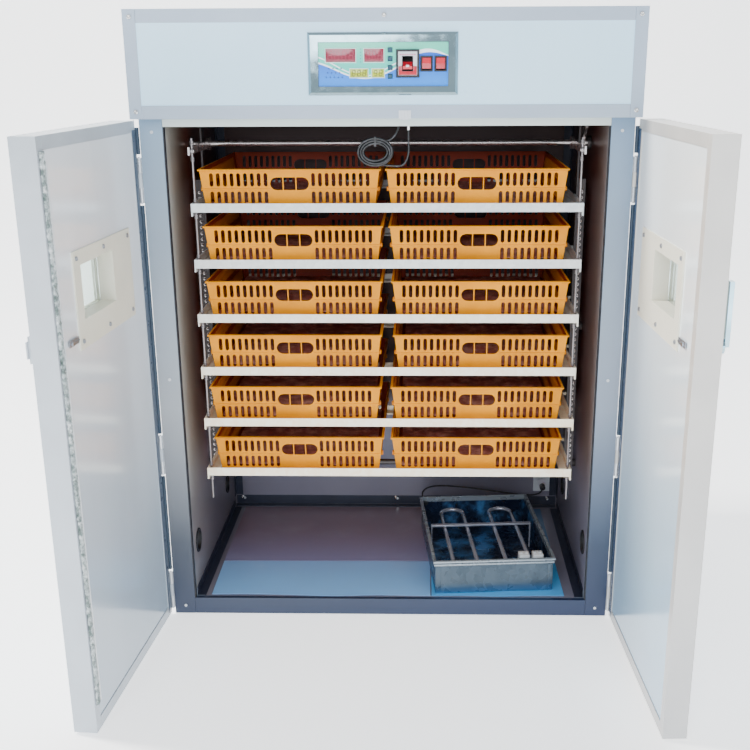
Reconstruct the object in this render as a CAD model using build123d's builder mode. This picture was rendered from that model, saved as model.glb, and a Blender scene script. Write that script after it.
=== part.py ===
from build123d import *
import math
import os

# Cabinet egg incubator with two doors, six tilting shelves and twelve egg baskets.
# Millimetres. The origin is on the floor under the middle of the cabinet: +X to the
# right, +Y to the back, +Z up. The doors stand open, as they do when it is loaded.

os.makedirs("parts", exist_ok=True)

# ---------------------------------------------------------------- driving sizes
header_width = 1000  # across the control header, the widest part
body_width = 990  # across the side walls
depth = 680  # header face to back wall
height = 1304
wall = 50  # insulated panel
sheet = 1.5  # folded trim and sheet metal

front = -depth / 2  # the header's face
back = depth / 2
half_body = body_width / 2
inner_x = half_body - wall  # chamber half width
recess = 48  # the doors close into this depth below the header
frame_front = front + recess
frame_back = frame_front + 12
opening_x = 448  # half width of the door opening
sill_top = 39
opening_top = 1085
header_bottom = 1102
floor_top = 38
ceiling = height - wall

# doors
hinge_x = header_width / 2
door_start = 5  # from the pin to the door's hinge edge
door_end = 499
door_in = 2  # from the pin to the door's inner face
door_out = recess
door_bottom = 5
door_top = 1098
open_angle = {-1: 94.1, 1: 92.7}
window_u, window_v = (196, 366), (772, 873)  # opening through the door
plate_u, plate_v = (92, 396), (724, 898)  # window plate on the inner face
hinge_heights = (60, 388, 980)
hinge_length = 90
pin_radius = 2.5
barrel_radius = 4.5

# turning rack
shelf_count = 6
shelf_pitch = 115.7
pivot_y = front + 300
pivot_z = 920  # top shelf's pivot
shelf_half = 400
shelf_depth = 480
lip_height = 18
flange_width = 24
angle_thick = 3
link_x = 396.5
link_y = front + 76  # front pins, one link radius from the pivots
link_rod = 2.5
side_x = shelf_half  # inner face of the shelf's side bars
upright_x = 416
tie_z = 283
shaft_z = pivot_z + shelf_pitch
gear_module = 2.5
sector_teeth = 48
pinion_teeth = 16
gear_x = 425

# baskets
rim_width, rim_depth = 376, 456
basket_taper = 12
basket_height = 76
basket_wall = 2
basket_gap = 0.5  # above the slats
basket_bottom = 914 - pivot_z + 9 + basket_gap
basket_x = {-1: (-200, -196, -198, -200, -202, -198), 1: (185, 191, 196, 199, 193, 193)}

# control panel
bezel_x, bezel_z = (-147, 141), (1145.5, 1260)
face_x, face_z = (-127, 122.5), (1161.5, 1242.5)
display_windows = (
    (-113, -55, 1206, 1230.7), (-39, -1, 1206, 1230.7),
    (-66.5, -31.7, 1178, 1194), (-24.2, -0.3, 1178, 1194),
)
button_x = 11
button_z = (1228, 1212, 1196, 1180)
button_size = 8.3
breaker_x, breaker_z = (22.3, 67), (1177.5, 1229)
rocker_x = {"left": 80.7, "right": 107.7}
rocker_z = 1202.7

# water pan
pan_width, pan_depth, pan_height = 272, 395, 82
pan_x, pan_y, pan_z = 225, front + 285, 40
pan_turn = 4.8
socket_x = 402

nodes = 0


def save(piece, name):
    """Label one finished sub-part and write it to its own file."""
    global nodes
    piece.label = name
    export_step(piece, f"parts/{name}.step")
    nodes += 1


def block(x, y, z, mode=Mode.ADD):
    """A box between two values on each axis."""
    with Locations(((x[0] + x[1]) / 2, (y[0] + y[1]) / 2, (z[0] + z[1]) / 2)):
        Box(abs(x[1] - x[0]), abs(y[1] - y[0]), abs(z[1] - z[0]), mode=mode)


def rod(axis, centre, radius, length, mode=Mode.ADD):
    """A cylinder along X, Y or Z, centred on a point."""
    turn = {"X": (0, 90, 0), "Y": (90, 0, 0), "Z": (0, 0, 0)}[axis]
    with Locations(Location(centre, turn)):
        Cylinder(radius, length, mode=mode)


def both(low, high):
    """The pair of matching ranges at the left and at the right."""
    return (-high, -low), (low, high)


def door_plane(side):
    """Plane at the hinge pin: X runs to the free edge, Y up, the normal across the door."""
    angle = math.radians(open_angle[side])
    along = (-side * math.cos(angle), -math.sin(angle), 0)
    across = (-math.sin(angle), side * math.cos(angle), 0)
    return Plane(origin=(side * hinge_x, frame_front, 0), x_dir=along, z_dir=across)


def door_block(side, u, v, t, mode=Mode.ADD):
    """A box on a door: u from the pin, v up, t outwards from the hinge plane."""
    middle = ((u[0] + u[1]) / 2, (v[0] + v[1]) / 2, -side * (t[0] + t[1]) / 2)
    with Locations(door_plane(side).location * Location(middle)):
        Box(abs(u[1] - u[0]), abs(v[1] - v[0]), abs(t[1] - t[0]), mode=mode)


def door_rod(side, u, v, t, radius, mode=Mode.ADD):
    """A cylinder square to a door's faces."""
    middle = (u, v, -side * (t[0] + t[1]) / 2)
    with Locations(door_plane(side).location * Location(middle)):
        Cylinder(radius, abs(t[1] - t[0]), mode=mode)


# ------------------------------------------------------------------ cabinet shell
vents = ((front + 110, 157, 24), (front + 505, 144, 20))  # y, z, radius in each side wall


def make_side_wall(side, name):
    """One insulated side wall, with its two air inlets."""
    with BuildPart() as side_wall:
        across = sorted((side * inner_x, side * half_body))
        block(across, (frame_back, back - wall), (floor_top, ceiling))
        block(across, (frame_front, frame_back), (header_bottom, ceiling))
        for y, z, radius in vents:
            rod("X", (side * (inner_x + wall / 2), y, z), radius, wall + 2, Mode.SUBTRACT)
    save(side_wall.part, name)


make_side_wall(-1, "left_wall")
make_side_wall(1, "right_wall")

with BuildPart() as back_wall:
    block((-half_body, half_body), (back - wall, back), (floor_top, ceiling))
save(back_wall.part, "back_wall")

roof_top = height - sheet
with BuildPart() as roof:
    block((-half_body, half_body), (frame_front, back), (ceiling, roof_top))
    rod("Z", (0, 180, ceiling + wall / 2), 30, wall + 2, Mode.SUBTRACT)
save(roof.part, "roof")

with BuildPart() as base_floor:
    block((-half_body, half_body), (frame_back, back), (0, floor_top))
save(base_floor.part, "base_floor")

cutout_x, cutout_z = (face_x[0] + 2, face_x[1] - 2), (face_z[0] + 1, face_z[1] - 1)
with BuildPart() as header_panel:
    block((-hinge_x + sheet, hinge_x - sheet), (front + sheet, frame_front),
          (header_bottom + sheet, roof_top))
    block(cutout_x, (front, frame_front + 1), cutout_z, Mode.SUBTRACT)
save(header_panel.part, "header_panel")

with BuildPart() as door_frame:
    for side_range in both(opening_x, half_body):
        block(side_range, (frame_front, frame_back), (0, header_bottom))
    rail = (-opening_x + 0.3, opening_x - 0.3)
    block(rail, (frame_front, frame_back), (0, sill_top))
    block(rail, (frame_front, frame_back), (opening_top, header_bottom))
save(door_frame.part, "door_frame")

# folded trims: a band round the header, angles on the outer edges and in the chamber
band = 25
angle = 20
with BuildPart() as edge_trims:
    for face, edge in zip(both(hinge_x - band, hinge_x), both(hinge_x - sheet, hinge_x)):
        block(face, (front, front + sheet), (header_bottom, height))
        block(edge, (front, front + 30), (header_bottom, height))
    between = (-hinge_x + band + 0.3, hinge_x - band - 0.3)
    for face, edge in (((height - band, height), (roof_top, height)),
                       ((header_bottom, header_bottom + band), (header_bottom, header_bottom + sheet))):
        block(between, (front, front + sheet), face)
        block(between, (front, front + 30), edge)
    for out, lap in zip(both(half_body, half_body + sheet), both(half_body - band, half_body)):
        corner = (min(out[0], lap[0]), max(out[1], lap[1]))
        block(out, (back - band, back + sheet), (0, height - band - 0.5))
        block(corner, (back, back + sheet), (0, height - band - 0.5))
        block(out, (frame_front, back + sheet), (height - band, height))
        block(corner, (frame_front, back + sheet), (roof_top, height))
        block(out, (frame_front + 34, back - band - 0.5), (0, band))
    back_run = (-half_body + band + 0.5, half_body - band - 0.5)
    block(back_run, (back, back + sheet), (height - band, height))
    block(back_run, (back - band, back + sheet), (roof_top, height))
    block(back_run, (back, back + sheet), (0, band))
    for flat, tight in zip(both(inner_x - angle, inner_x), both(inner_x - sheet, inner_x)):
        block(flat, (back - wall - sheet, back - wall), (66, ceiling))
        block(tight, (back - wall - angle, back - wall), (66, ceiling))
        block(flat, (frame_back + 1, back - wall - 30), (floor_top, floor_top + sheet))
        block(tight, (frame_back + 1, back - wall - 30), (floor_top, floor_top + angle))
    block((-inner_x + 2, inner_x - 2), (back - wall - sheet, back - wall), (floor_top, 64))
    block((-inner_x + 2, inner_x - 2), (back - wall - angle, back - wall), (floor_top, floor_top + sheet))
save(edge_trims.part, "edge_trims")

# ------------------------------------------------------------------------ fittings
screw_radius = 3.2


def screw_head(x, y, z, axis="Y", out=-1, radius=screw_radius):
    """A domed screw head that stands on a face and points along one axis."""
    rise = 1.6
    centre = (x, y + out * rise / 2, z) if axis == "Y" else (x + out * rise / 2, y, z)
    rod(axis, centre, radius, rise)


with BuildPart() as cabinet_fittings:
    for x in (-486, 486):
        for z in (header_bottom + 14, height - 14):
            screw_head(x, front, z)
    screw_head(0, front, height - 13)
    for x in (-470, 470):
        for z in (20, 560, 1075):
            screw_head(x, frame_front, z)
    for x in (-420, 5, 420):
        screw_head(x, back - wall - sheet, 56)
    for x, y in ((-half_body - sheet, -1), (half_body + sheet, 1)):
        for z in (120, 480, 840, 1200):
            screw_head(x, back - 12, z, axis="X", out=y)
    # catch under the header's edge: a plate with a sprung ball housing below it
    block((27, 51), (front - 2, front), (1101, 1117))
    block((31, 47), (front - 1, front + 8), (1098.8, 1101.8))
    # socket for the pan's heater on the back wall
    block((socket_x - 22, socket_x + 22), (back - wall - 8, back - wall), (82, 126))
    rod("Y", (socket_x, back - wall - 5, 104), 12, 6.4, Mode.SUBTRACT)
    # rings round the air inlets and the outlet cowl on the roof
    for side in (-1, 1):
        for y, z, radius in vents:
            rod("X", (side * (half_body + 1.5), y, z), radius + 8, 3)
            rod("X", (side * (half_body + 1.5), y, z), radius - 2, 5, Mode.SUBTRACT)
    rod("Z", (0, 180, height + 6), 42, 12 + 2 * sheet)
    rod("Z", (0, 180, height + 6), 28, 20, Mode.SUBTRACT)
    # mains gland on the back and the sensor lead's gland and clip
    rod("Y", (-380, back + 7, 1180), 13, 14)
    rod("Y", (-380, back + 7, 1180), 5, 16, Mode.SUBTRACT)
    block((14, 58), (frame_back, frame_back + 1.5), (opening_top, header_bottom))
    block((40, 50), (frame_back + 1.5, frame_back + 12), (1090, 1092.5))
    rod("Z", (45, front + 67, 1091), 3.5, 4, Mode.SUBTRACT)
save(cabinet_fittings.part, "cabinet_fittings")

knuckle = (hinge_length - 1) / 3


def knuckle_spans(low):
    """The lower, middle and upper knuckles of one hinge, half a millimetre apart."""
    return [(low + k * (knuckle + 0.5), low + k * (knuckle + 0.5) + knuckle) for k in range(3)]


leaf_thick = 1.8
leaf_reach = 32
with BuildPart() as cabinet_hinges:
    for side in (-1, 1):
        leaf = sorted((side * half_body, side * (half_body + leaf_thick)))
        for middle in hinge_heights:
            low = middle - hinge_length / 2
            block(leaf, (frame_front + 5.5, frame_front + leaf_reach), (low, low + hinge_length))
            for z0, z1 in knuckle_spans(low)[::2]:
                rod("Z", (side * hinge_x, frame_front, (z0 + z1) / 2), barrel_radius, knuckle)
                block(leaf, (frame_front + 0.6, frame_front + 5.5), (z0, z1))
            rod("Z", (side * hinge_x, frame_front, middle), pin_radius, hinge_length + 4)
save(cabinet_hinges.part, "cabinet_hinges")

# -------------------------------------------------------------------- turning rack
shelf_pivots = [pivot_z - k * shelf_pitch for k in range(shelf_count)]
running = 0.05  # radial clearance of pins in their holes

with BuildPart() as rack_frame:
    for side in (-1, 1):
        plate = sorted((side * upright_x, side * (upright_x + 4)))
        block(plate, (pivot_y - 15, pivot_y + 15), (tie_z - 15, 1175))
        for z in (tie_z, 620, 1160):
            rod("X", (side * (upright_x + 4 + inner_x) / 2, pivot_y, z), 9, inner_x - upright_x - 4)
        rod("X", (side * (inner_x - 4), pivot_y, shaft_z), 14, 8)
        for z in shelf_pivots:
            rod("X", (side * (upright_x + 2), pivot_y, z), 4 + running, 6, Mode.SUBTRACT)
        rod("X", (side * (upright_x + 2), pivot_y, shaft_z), 6 + running, 6, Mode.SUBTRACT)
        rod("X", (side * (inner_x - 5), pivot_y, shaft_z), 6 + running, 8, Mode.SUBTRACT)
    rod("X", (upright_x + 2, pivot_y, shaft_z + 80), 5, 6, Mode.SUBTRACT)
    rod("X", (0, pivot_y, tie_z), 7, 2 * upright_x)
save(rack_frame.part, "rack_frame")


def gear_outline(teeth, first, count, phase):
    """Points round some teeth of a gear: root, flank, tip and flank for each tooth."""
    radius = gear_module * teeth / 2
    tip, root = radius + 0.9 * gear_module, radius - 1.15 * gear_module
    half_pitch = 0.44 * math.pi / teeth
    flank = math.tan(math.radians(20)) * gear_module
    half_tip = half_pitch - 0.9 * flank / radius
    half_root = half_pitch + 1.0 * flank / radius
    points = []
    for k in range(first, first + count):
        middle = 2 * math.pi * k / teeth + phase
        for reach, offset in ((root, -half_root), (tip, -half_tip), (tip, half_tip), (root, half_root)):
            points.append((reach * math.cos(middle + offset), reach * math.sin(middle + offset)))
    return points


lever_span = pivot_y - link_y
with BuildPart() as turning_shaft:
    rod("X", (0, pivot_y, shaft_z), 6, 2 * (inner_x - 3))
    for side in (-1, 1):
        plate = sorted((side * side_x, side * (side_x + 4)))
        block(plate, (link_y - 8, pivot_y + 8), (shaft_z - 8, shaft_z + 8))
        rod("X", (side * (side_x + 4), pivot_y, shaft_z), 14, 8)
        rod("X", (side * (side_x - 3), link_y, shaft_z), 2.5, 7)
        rod("X", (side * (side_x - 7), link_y, shaft_z), 3.6, 1)
    with BuildSketch(Plane((gear_x, pivot_y, shaft_z), x_dir=(0, 1, 0), z_dir=(1, 0, 0))):
        with BuildLine():
            Polyline(*gear_outline(sector_teeth, -7, 15, math.pi / 2), (0, 0), close=True)
        make_face()
        Circle(14)
    extrude(amount=6)
save(turning_shaft.part, "turning_shaft")

motor_z = shaft_z + 80
with BuildPart() as motor_pinion:
    with BuildSketch(Plane((gear_x - 1, pivot_y, motor_z), x_dir=(0, 1, 0), z_dir=(1, 0, 0))):
        with BuildLine():
            Polyline(*gear_outline(pinion_teeth, 0, pinion_teeth, math.pi / pinion_teeth), close=True)
        make_face()
    extrude(amount=8)
    rod("X", (gear_x - 13, pivot_y, motor_z), 4, 24)
save(motor_pinion.part, "motor_pinion")

with BuildPart() as turning_motor:
    block((upright_x - 32, upright_x), (pivot_y - 28, pivot_y + 28), (motor_z - 28, motor_z + 34))
    rod("X", (upright_x - 72, pivot_y, motor_z + 4), 24, 80)
    rod("X", (upright_x - 116, pivot_y, motor_z + 4), 9, 8)
    rod("X", (upright_x - 13, pivot_y, motor_z), 4 + running, 27, Mode.SUBTRACT)
save(turning_motor.part, "turning_motor")

with BuildPart() as turning_links:
    rod_low, rod_high = 277, 1061
    for side in (-1, 1):
        rod("Z", (side * link_x, link_y, (rod_low + rod_high) / 2), link_rod, rod_high - rod_low)
        for z in (shaft_z, *shelf_pivots):
            rod("X", (side * link_x, link_y, z), 6, 5)
            for nut in (z - 14, z + 14):
                rod("Z", (side * link_x, link_y, nut), link_rod + 0.7, 4)
        for z in (shaft_z, *shelf_pivots):
            rod("X", (side * link_x, link_y, z), 2.5 + running, 8, Mode.SUBTRACT)
save(turning_links.part, "turning_links")

bar_bottom = 914 - pivot_z  # heights from here to the baskets are from the shelf's pivot
slat_x = (-330, -200, -70, 70, 200, 330)


def make_shelf(index):
    """Angle bars with raised lips round flat slats, a pivot pin and a link pin at each side."""
    z = shelf_pivots[index]
    low = z + bar_bottom
    near, far = pivot_y - shelf_depth / 2, pivot_y + shelf_depth / 2
    with BuildPart() as shelf:
        for lip, flange in (((near, near + angle_thick), (near, near + flange_width)),
                            ((far - angle_thick, far), (far - flange_width, far))):
            block((-shelf_half, shelf_half), lip, (low, low + lip_height))
            block((-385, 385), flange, (low, low + angle_thick))
        for side in (-1, 1):
            upright = sorted((side * side_x, side * (side_x + angle_thick)))
            inward = sorted((side * 382, side * side_x))
            block(upright, (near, far), (low - 8, low + lip_height))
            block(inward, (near + 45, far), (low, low + angle_thick))
            rod("X", (side * 412, pivot_y, z), 4, 19)
            rod("X", (side * (side_x - 3), link_y, z), 2.5, 7)
            rod("X", (side * (side_x - 7), link_y, z), 3.6, 1)
        for x in slat_x:
            block((x - 10, x + 10), (near + angle_thick, far - angle_thick), (low + angle_thick, low + 9))
    save(shelf.part, f"shelf_{index + 1}")


for index in range(shelf_count):
    make_shelf(index)


def basket_section(z, inset):
    """A rounded rectangle of the basket at one height, inset from the rim's size."""
    width, length = rim_width - 2 * inset, rim_depth - 2 * inset
    with BuildSketch(Plane.XY.offset(z)) as section:
        RectangleRounded(width, length, 20)
    return section.sketch


def make_basket(number, x, pivot):
    """A tapered tub with a lip round the rim and a hand hole at the front and the back."""
    low = pivot + basket_bottom
    with BuildPart() as basket:
        loft([basket_section(low, basket_taper), basket_section(low + basket_height, 3)])
        hollow = [basket_section(low + basket_wall, basket_taper + basket_wall),
                  basket_section(low + basket_height + 0.01, 3 + basket_wall)]
        loft(hollow, mode=Mode.SUBTRACT)
        with BuildSketch(Plane.XY.offset(low + basket_height - 3)):
            RectangleRounded(rim_width, rim_depth, 20)
            RectangleRounded(rim_width - 10, rim_depth - 10, 17, mode=Mode.SUBTRACT)
        extrude(amount=3)
        with Locations((0, 0, low + 47)):
            Box(80, rim_depth + 20, 25, mode=Mode.SUBTRACT)
    save(basket.part.moved(Location((x, pivot_y, 0))), f"basket_{number}")


for row in range(shelf_count):
    for column, side in enumerate((-1, 1)):
        make_basket(2 * row + column + 1, basket_x[side][row], shelf_pivots[row])

# ------------------------------------------------------------------- fan and heater
fan_y = 0
with BuildPart() as fan_unit:
    rod("Z", (0, fan_y, 1219), 115, 58)
    rod("Z", (0, fan_y, 1219), 108, 60, Mode.SUBTRACT)
    rod("Z", (0, fan_y, 1230), 30, 30)
    for turn in (0, 120, 240):
        with Locations(Location((0, fan_y, 0), (0, 0, turn))):
            with Locations((70, 0, 1240)):
                Box(88, 10, 4)
    for turn in (45, 135, 225, 315):
        with Locations(Location((0, fan_y, 0), (0, 0, turn))):
            with Locations((112, 0, 1251)):
                Box(14, 14, 6)
    for reach in (28, 56, 84):
        with BuildSketch(Plane.XY.offset(1184)):
            with Locations((0, fan_y)):
                Circle(reach + 1)
                Circle(reach - 1, mode=Mode.SUBTRACT)
        extrude(amount=2)
    for turn in (0, 90):
        with Locations(Location((0, fan_y, 1187), (0, 0, turn))):
            Box(226, 3, 3)
    for turn in (0, 90, 180, 270):
        with Locations(Location((0, fan_y, 0), (0, 0, turn))):
            with Locations((111.5, 0, 1188)):
                Box(6, 6, 5)
    rod("Z", (0, fan_y, 1206), 4, 20)
    # ring heater below the fan, hung from the ceiling on four stays
    with Locations((0, fan_y, 1176)):
        Torus(140, 4.5)
    for turn in (45, 135, 225, 315):
        with Locations(Location((0, fan_y, 0), (0, 0, turn))):
            with Locations((140, 0, 1216)):
                Cylinder(3, 76)
save(fan_unit.part, "fan_unit")

with BuildPart() as fan_rotor:
    rod("Z", (0, fan_y, 1203), 24, 16)
    for turn in range(5):
        with Locations(Location((0, fan_y, 1203), (0, 0, 72 * turn))):
            with Locations(Location((62, 0, 0), (28, 0, 0))):
                Box(82, 40, 2)
    rod("Z", (0, fan_y, 1203), 4 + running, 30, Mode.SUBTRACT)
save(fan_rotor.part, "fan_rotor")

# ------------------------------------------------------------------ control panel
with BuildPart() as control_bezel:
    block(bezel_x, (front - 6, front + sheet), bezel_z)
    rim = control_bezel.edges().group_by(Axis.Y)[0]
    chamfer(rim, length=5)
    block(face_x, (front - 8, front + 3), face_z, Mode.SUBTRACT)
save(control_bezel.part, "control_bezel")

breaker_slot = ((34, 55), (1189, 1217))
rocker_outer, rocker_inner = (24, 28.6), (17.4, 22.6)
with BuildPart() as control_face:
    block((face_x[0] + 0.3, face_x[1] - 0.3), (front - 2, front + 1), (face_z[0] + 0.3, face_z[1] - 0.3))
    for x0, x1, z0, z1 in display_windows:
        block((x0 - 0.3, x1 + 0.3), (front - 3, front + 2), (z0 - 0.3, z1 + 0.3), Mode.SUBTRACT)
    for z in button_z:
        with Locations((button_x, front, z)):
            Box(button_size + 0.8, 8, button_size + 0.8, mode=Mode.SUBTRACT)
    block(breaker_x, (front - 6, front + 30), breaker_z)
    block(breaker_slot[0], (front - 7, front + 14), breaker_slot[1], Mode.SUBTRACT)
    for x in rocker_x.values():
        with Locations((x, front + 4, rocker_z)):
            Box(rocker_outer[0], 16, rocker_outer[1])
            Box(rocker_inner[0], 18, rocker_inner[1], mode=Mode.SUBTRACT)
    for x0, x1, z0, z1 in display_windows:
        block((x0, x1), (front - 2.6, front + 1), (z0, z1))
save(control_face.part, "control_face")

lever_rest = 24  # degrees below level when the breaker is off
with BuildPart() as breaker_lever:
    with Locations(Location((44.5, front + 4, 1203), (0, 90, 0))):
        Cylinder(3.4, 19)
    with Locations(Location((44.5, front + 4, 1203), (lever_rest, 0, 0))):
        with Locations((0, -9, 0)):
            Box(18, 18, 6)
save(breaker_lever.part, "breaker_lever")

rocker_tilt = 7
for name, x in rocker_x.items():
    with BuildPart() as rocker:
        with BuildSketch(Plane.YZ.offset(-8.2)):
            with BuildLine():
                Polyline((-7, 9.9), (-5.2, 0), (-7, -9.9), (3, -9), (3, 9), close=True)
            make_face()
        extrude(amount=16.4)
        rod("X", (0, 0, 0), 2.2, 17.2)
    placed = rocker.part.moved(Location((x, front + 1, rocker_z), (-rocker_tilt, 0, 0)))
    save(placed, f"rocker_{name}")

for number, z in enumerate(button_z, start=1):
    with BuildPart() as button:
        block((button_x - button_size / 2, button_x + button_size / 2), (front - 5, front + 6),
              (z - button_size / 2, z + button_size / 2))
        chamfer(button.edges().group_by(Axis.Y)[0], length=0.8)
    save(button.part, f"button_{number}")

# electronics housing in the header's cut-out, open towards the panel
box_x, box_z = (cutout_x[0] + 0.5, cutout_x[1] - 0.5), (cutout_z[0] + 0.5, cutout_z[1] - 0.5)
with BuildPart() as control_box:
    block(box_x, (front + 12.5, front + 84), box_z)
    block((box_x[0] + 1.2, box_x[1] - 1.2), (front + 12, front + 82.8), (box_z[0] + 1.2, box_z[1] - 1.2),
          Mode.SUBTRACT)
    # circuit board with a transformer, three relays, a terminal strip and a heat sink
    block((-120, 16), (front + 60, front + 61.6), (1166, 1238))
    block((-114, -74), (front + 30, front + 60), (1172, 1208))
    for x in (-60, -40, -20):
        block((x, x + 15), (front + 44, front + 60), (1172, 1200))
    block((-110, -20), (front + 48, front + 60), (1216, 1226))
    block((0, 12), (front + 40, front + 60), (1180, 1220))
    rod("Z", (27, front + 78, 1158), 4, 11)
save(control_box.part, "control_box")

# --------------------------------------------------------------------------- doors
trim_face = 23


def make_door(side, name):
    """Panel, edge trim with its hinge leaves, window frame and glass of one door."""
    with BuildPart() as panel:
        door_block(side, (door_start + 2, door_end - 2), (door_bottom + 2, door_top - 2),
                   (door_in + sheet, door_out - sheet))
        door_block(side, window_u, window_v, (-5, 60), Mode.SUBTRACT)
    save(panel.part, f"{name}_door_panel")

    with BuildPart() as trim:
        inside = (door_start + trim_face, door_end - trim_face)
        for u in ((door_start, inside[0]), (inside[1], door_end)):
            door_block(side, u, (door_bottom, door_top), (door_in, door_out))
        for v in ((door_bottom, door_bottom + trim_face), (door_top - trim_face, door_top)):
            door_block(side, (inside[0] + 0.3, inside[1] - 0.3), v, (door_in, door_out))
        door_block(side, (door_start + sheet, door_end - sheet), (door_bottom + sheet, door_top - sheet),
                   (door_in + sheet, door_out - sheet), Mode.SUBTRACT)
        for middle in hinge_heights:
            low = middle - hinge_length / 2
            edge = (door_start - leaf_thick, door_start)
            door_block(side, edge, (low, low + hinge_length), (5.5, leaf_reach))
            z0, z1 = knuckle_spans(low)[1]
            door_block(side, edge, (z0, z1), (0, 5.5))
            spot = (side * hinge_x, frame_front, middle)
            rod("Z", spot, barrel_radius, z1 - z0)
            rod("Z", spot, pin_radius + running, z1 - z0 + 2, Mode.SUBTRACT)
        if side < 0:
            door_block(side, (438, 486), (722, 770), (door_out, door_out + 4))
            door_block(side, (468, 486), (722, 770), (door_out + 4, door_out + 10))
            door_block(side, (462, 490), (731, 761), (door_out + 10, door_out + 13))
    save(trim.part, f"{name}_door_trim")

    with BuildPart() as window_frame:
        door_block(side, plate_u, plate_v, (door_in - 1.2, door_in + sheet))
        plate_out = (plate_u, plate_v, (door_out - sheet, door_out + 1.5))
        door_block(side, *plate_out)
        door_block(side, (window_u[0], window_u[1]), window_v, (door_in, door_out))
        inside_u = (window_u[0] + 2, window_u[1] - 2)
        inside_v = (window_v[0] + 2, window_v[1] - 2)
        door_block(side, inside_u, inside_v, (-5, 60), Mode.SUBTRACT)
        for t in (34, 44):
            door_block(side, (inside_u[0] - 1, inside_u[1] + 1), (inside_v[0] - 1, inside_v[1] + 1),
                       (t - 2.1, t + 2.1), Mode.SUBTRACT)
        for u in (plate_u[0] + 16, (plate_u[0] + plate_u[1]) / 2, plate_u[1] - 14):
            for v in (plate_v[0] + 14, plate_v[1] - 13):
                door_rod(side, u, v, (door_in - 2.6, door_in - 1.2), 3)
    save(window_frame.part, f"{name}_window_frame")

    with BuildPart() as window_glass:
        for t in (34, 44):
            door_block(side, (inside_u[0] - 0.8, inside_u[1] + 0.8), (inside_v[0] - 0.8, inside_v[1] + 0.8),
                       (t - 2, t + 2))
    save(window_glass.part, f"{name}_window_glass")


make_door(-1, "left")
make_door(1, "right")

with BuildPart() as left_door_seal:
    door_block(-1, (476, 492), (62, 1074), (door_in - 6, door_in))
save(left_door_seal.part, "left_door_seal")

# lever latch on the right door's outer face: a hub, a grip and a tongue below the hub
latch_u, latch_v = 448, 746
with BuildPart() as latch_handle:
    door_rod(1, latch_u, latch_v, (door_out + 0.3, door_out + 17), 13)
    door_block(1, (latch_u - 9, latch_u + 9), (latch_v, latch_v + 112), (door_out + 17, door_out + 25))
    door_block(1, (latch_u - 9, latch_u + 9), (latch_v - 92, latch_v), (door_out + 5, door_out + 9))
save(latch_handle.part, "latch_handle")

# ----------------------------------------------------------------------- water pan
pan_place = Location((pan_x, pan_y, pan_z), (0, 0, pan_turn))
half_w, half_d = pan_width / 2, pan_depth / 2
with BuildPart() as water_pan:
    block((-half_w, half_w), (-half_d, half_d), (0, pan_height))
    block((-half_w + sheet, half_w - sheet), (-half_d + sheet, half_d - sheet), (sheet, pan_height + 1),
          Mode.SUBTRACT)
    rim_out = 6
    with BuildSketch(Plane.XY.offset(pan_height - 4)):
        Rectangle(pan_width + 2 * rim_out, pan_depth + 2 * rim_out)
        Rectangle(pan_width - 2 * sheet, pan_depth - 2 * sheet, mode=Mode.SUBTRACT)
    extrude(amount=4)
save(water_pan.part.moved(pan_place), "water_pan")

tube = 5
run_x = 28  # half the width of each heater's loop
with BuildPart() as pan_heaters:
    for middle in (-62, 62):
        near, far = -half_d + 30, half_d - 60
        with BuildLine() as path:
            Line((middle - run_x, near, 58), (middle - run_x, far, 58))
            RadiusArc((middle - run_x, far, 58), (middle + run_x, far, 58), run_x)
            Line((middle + run_x, far, 58), (middle + run_x, near, 58))
        with BuildSketch(Plane((middle - run_x, near, 58), x_dir=(1, 0, 0), z_dir=(0, 1, 0))):
            Circle(tube)
        sweep()
    block((-half_w + 12, half_w - 12), (38, 50), (64, 69))
    for side in (-1, 1):
        block(sorted((side * (half_w - 14), side * (half_w - 11))), (38, 50), (2, 69))
    # terminal blocks on a strip over the front of the tubes
    block((-half_w + 14, half_w - 12), (-half_d + 14, -half_d + 30), (52, 66))
    for x in (60, 92):
        block((x, x + 24), (-half_d + 12, -half_d + 38), (66.4, 84))
save(pan_heaters.part.moved(pan_place), "pan_heaters")

# --------------------------------------------------------------------------- cords
cord_radius = 2.2


def cord_path(points):
    """A polyline with arcs as large as its runs allow; the radii are printed."""
    vectors = [Vector(*point) for point in points]
    radii = []
    for before, corner, after in zip(vectors, vectors[1:], vectors[2:]):
        arriving, leaving = corner - before, after - corner
        turn = math.radians(arriving.get_angle(leaving))
        run = min(arriving.length, leaving.length)
        radii.append(0.45 * run / math.tan(turn / 2))
    print("cord radii", [round(radius, 1) for radius in radii])
    return FilletPolyline(*points, radius=radii)


def cord_tube(points):
    """A round tube along a cord's route, with its length and volume printed."""
    with BuildLine() as route:
        cord_path(points)
    with BuildSketch(Plane(origin=route.line @ 0, z_dir=route.line % 0)) as section:
        Circle(cord_radius)
    sweep(section.sketch, path=route.line)
    length = sum(edge.length for edge in route.edges())
    print("cord length", round(length, 1), "expected volume", round(length * math.pi * cord_radius ** 2, 1))


coil_x, coil_z, coil_y = -22, 1034, frame_front + 12
sensor_feed = [
    (27, front + 78, 1152), (27.5, front + 78, 1138), (28, front + 76.5, 1124), (28, front + 73, 1108),
    (27, front + 69, 1092), (24, front + 65, 1077), (17, front + 60, 1065), (8, coil_y, 1057),
]
sensor_tail = [
    (10, coil_y, 1012), (20, coil_y + 1, 1005), (32, front + 61, 1006), (41, front + 62.5, 1016),
    (45, front + 64, 1030), (45.5, front + 65, 1046), (45, front + 66.5, 1062), (45, front + 67, 1076),
]
with BuildPart() as sensor_cable:
    cord_tube(sensor_feed)
    print("feed volume", round(sensor_cable.part.volume, 1))
    cord_tube(sensor_tail)
    # probe that the lead ends in
    rod("Z", (45, front + 67, 1089), 3.4, 26)
save(sensor_cable.part, "sensor_cable")

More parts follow.
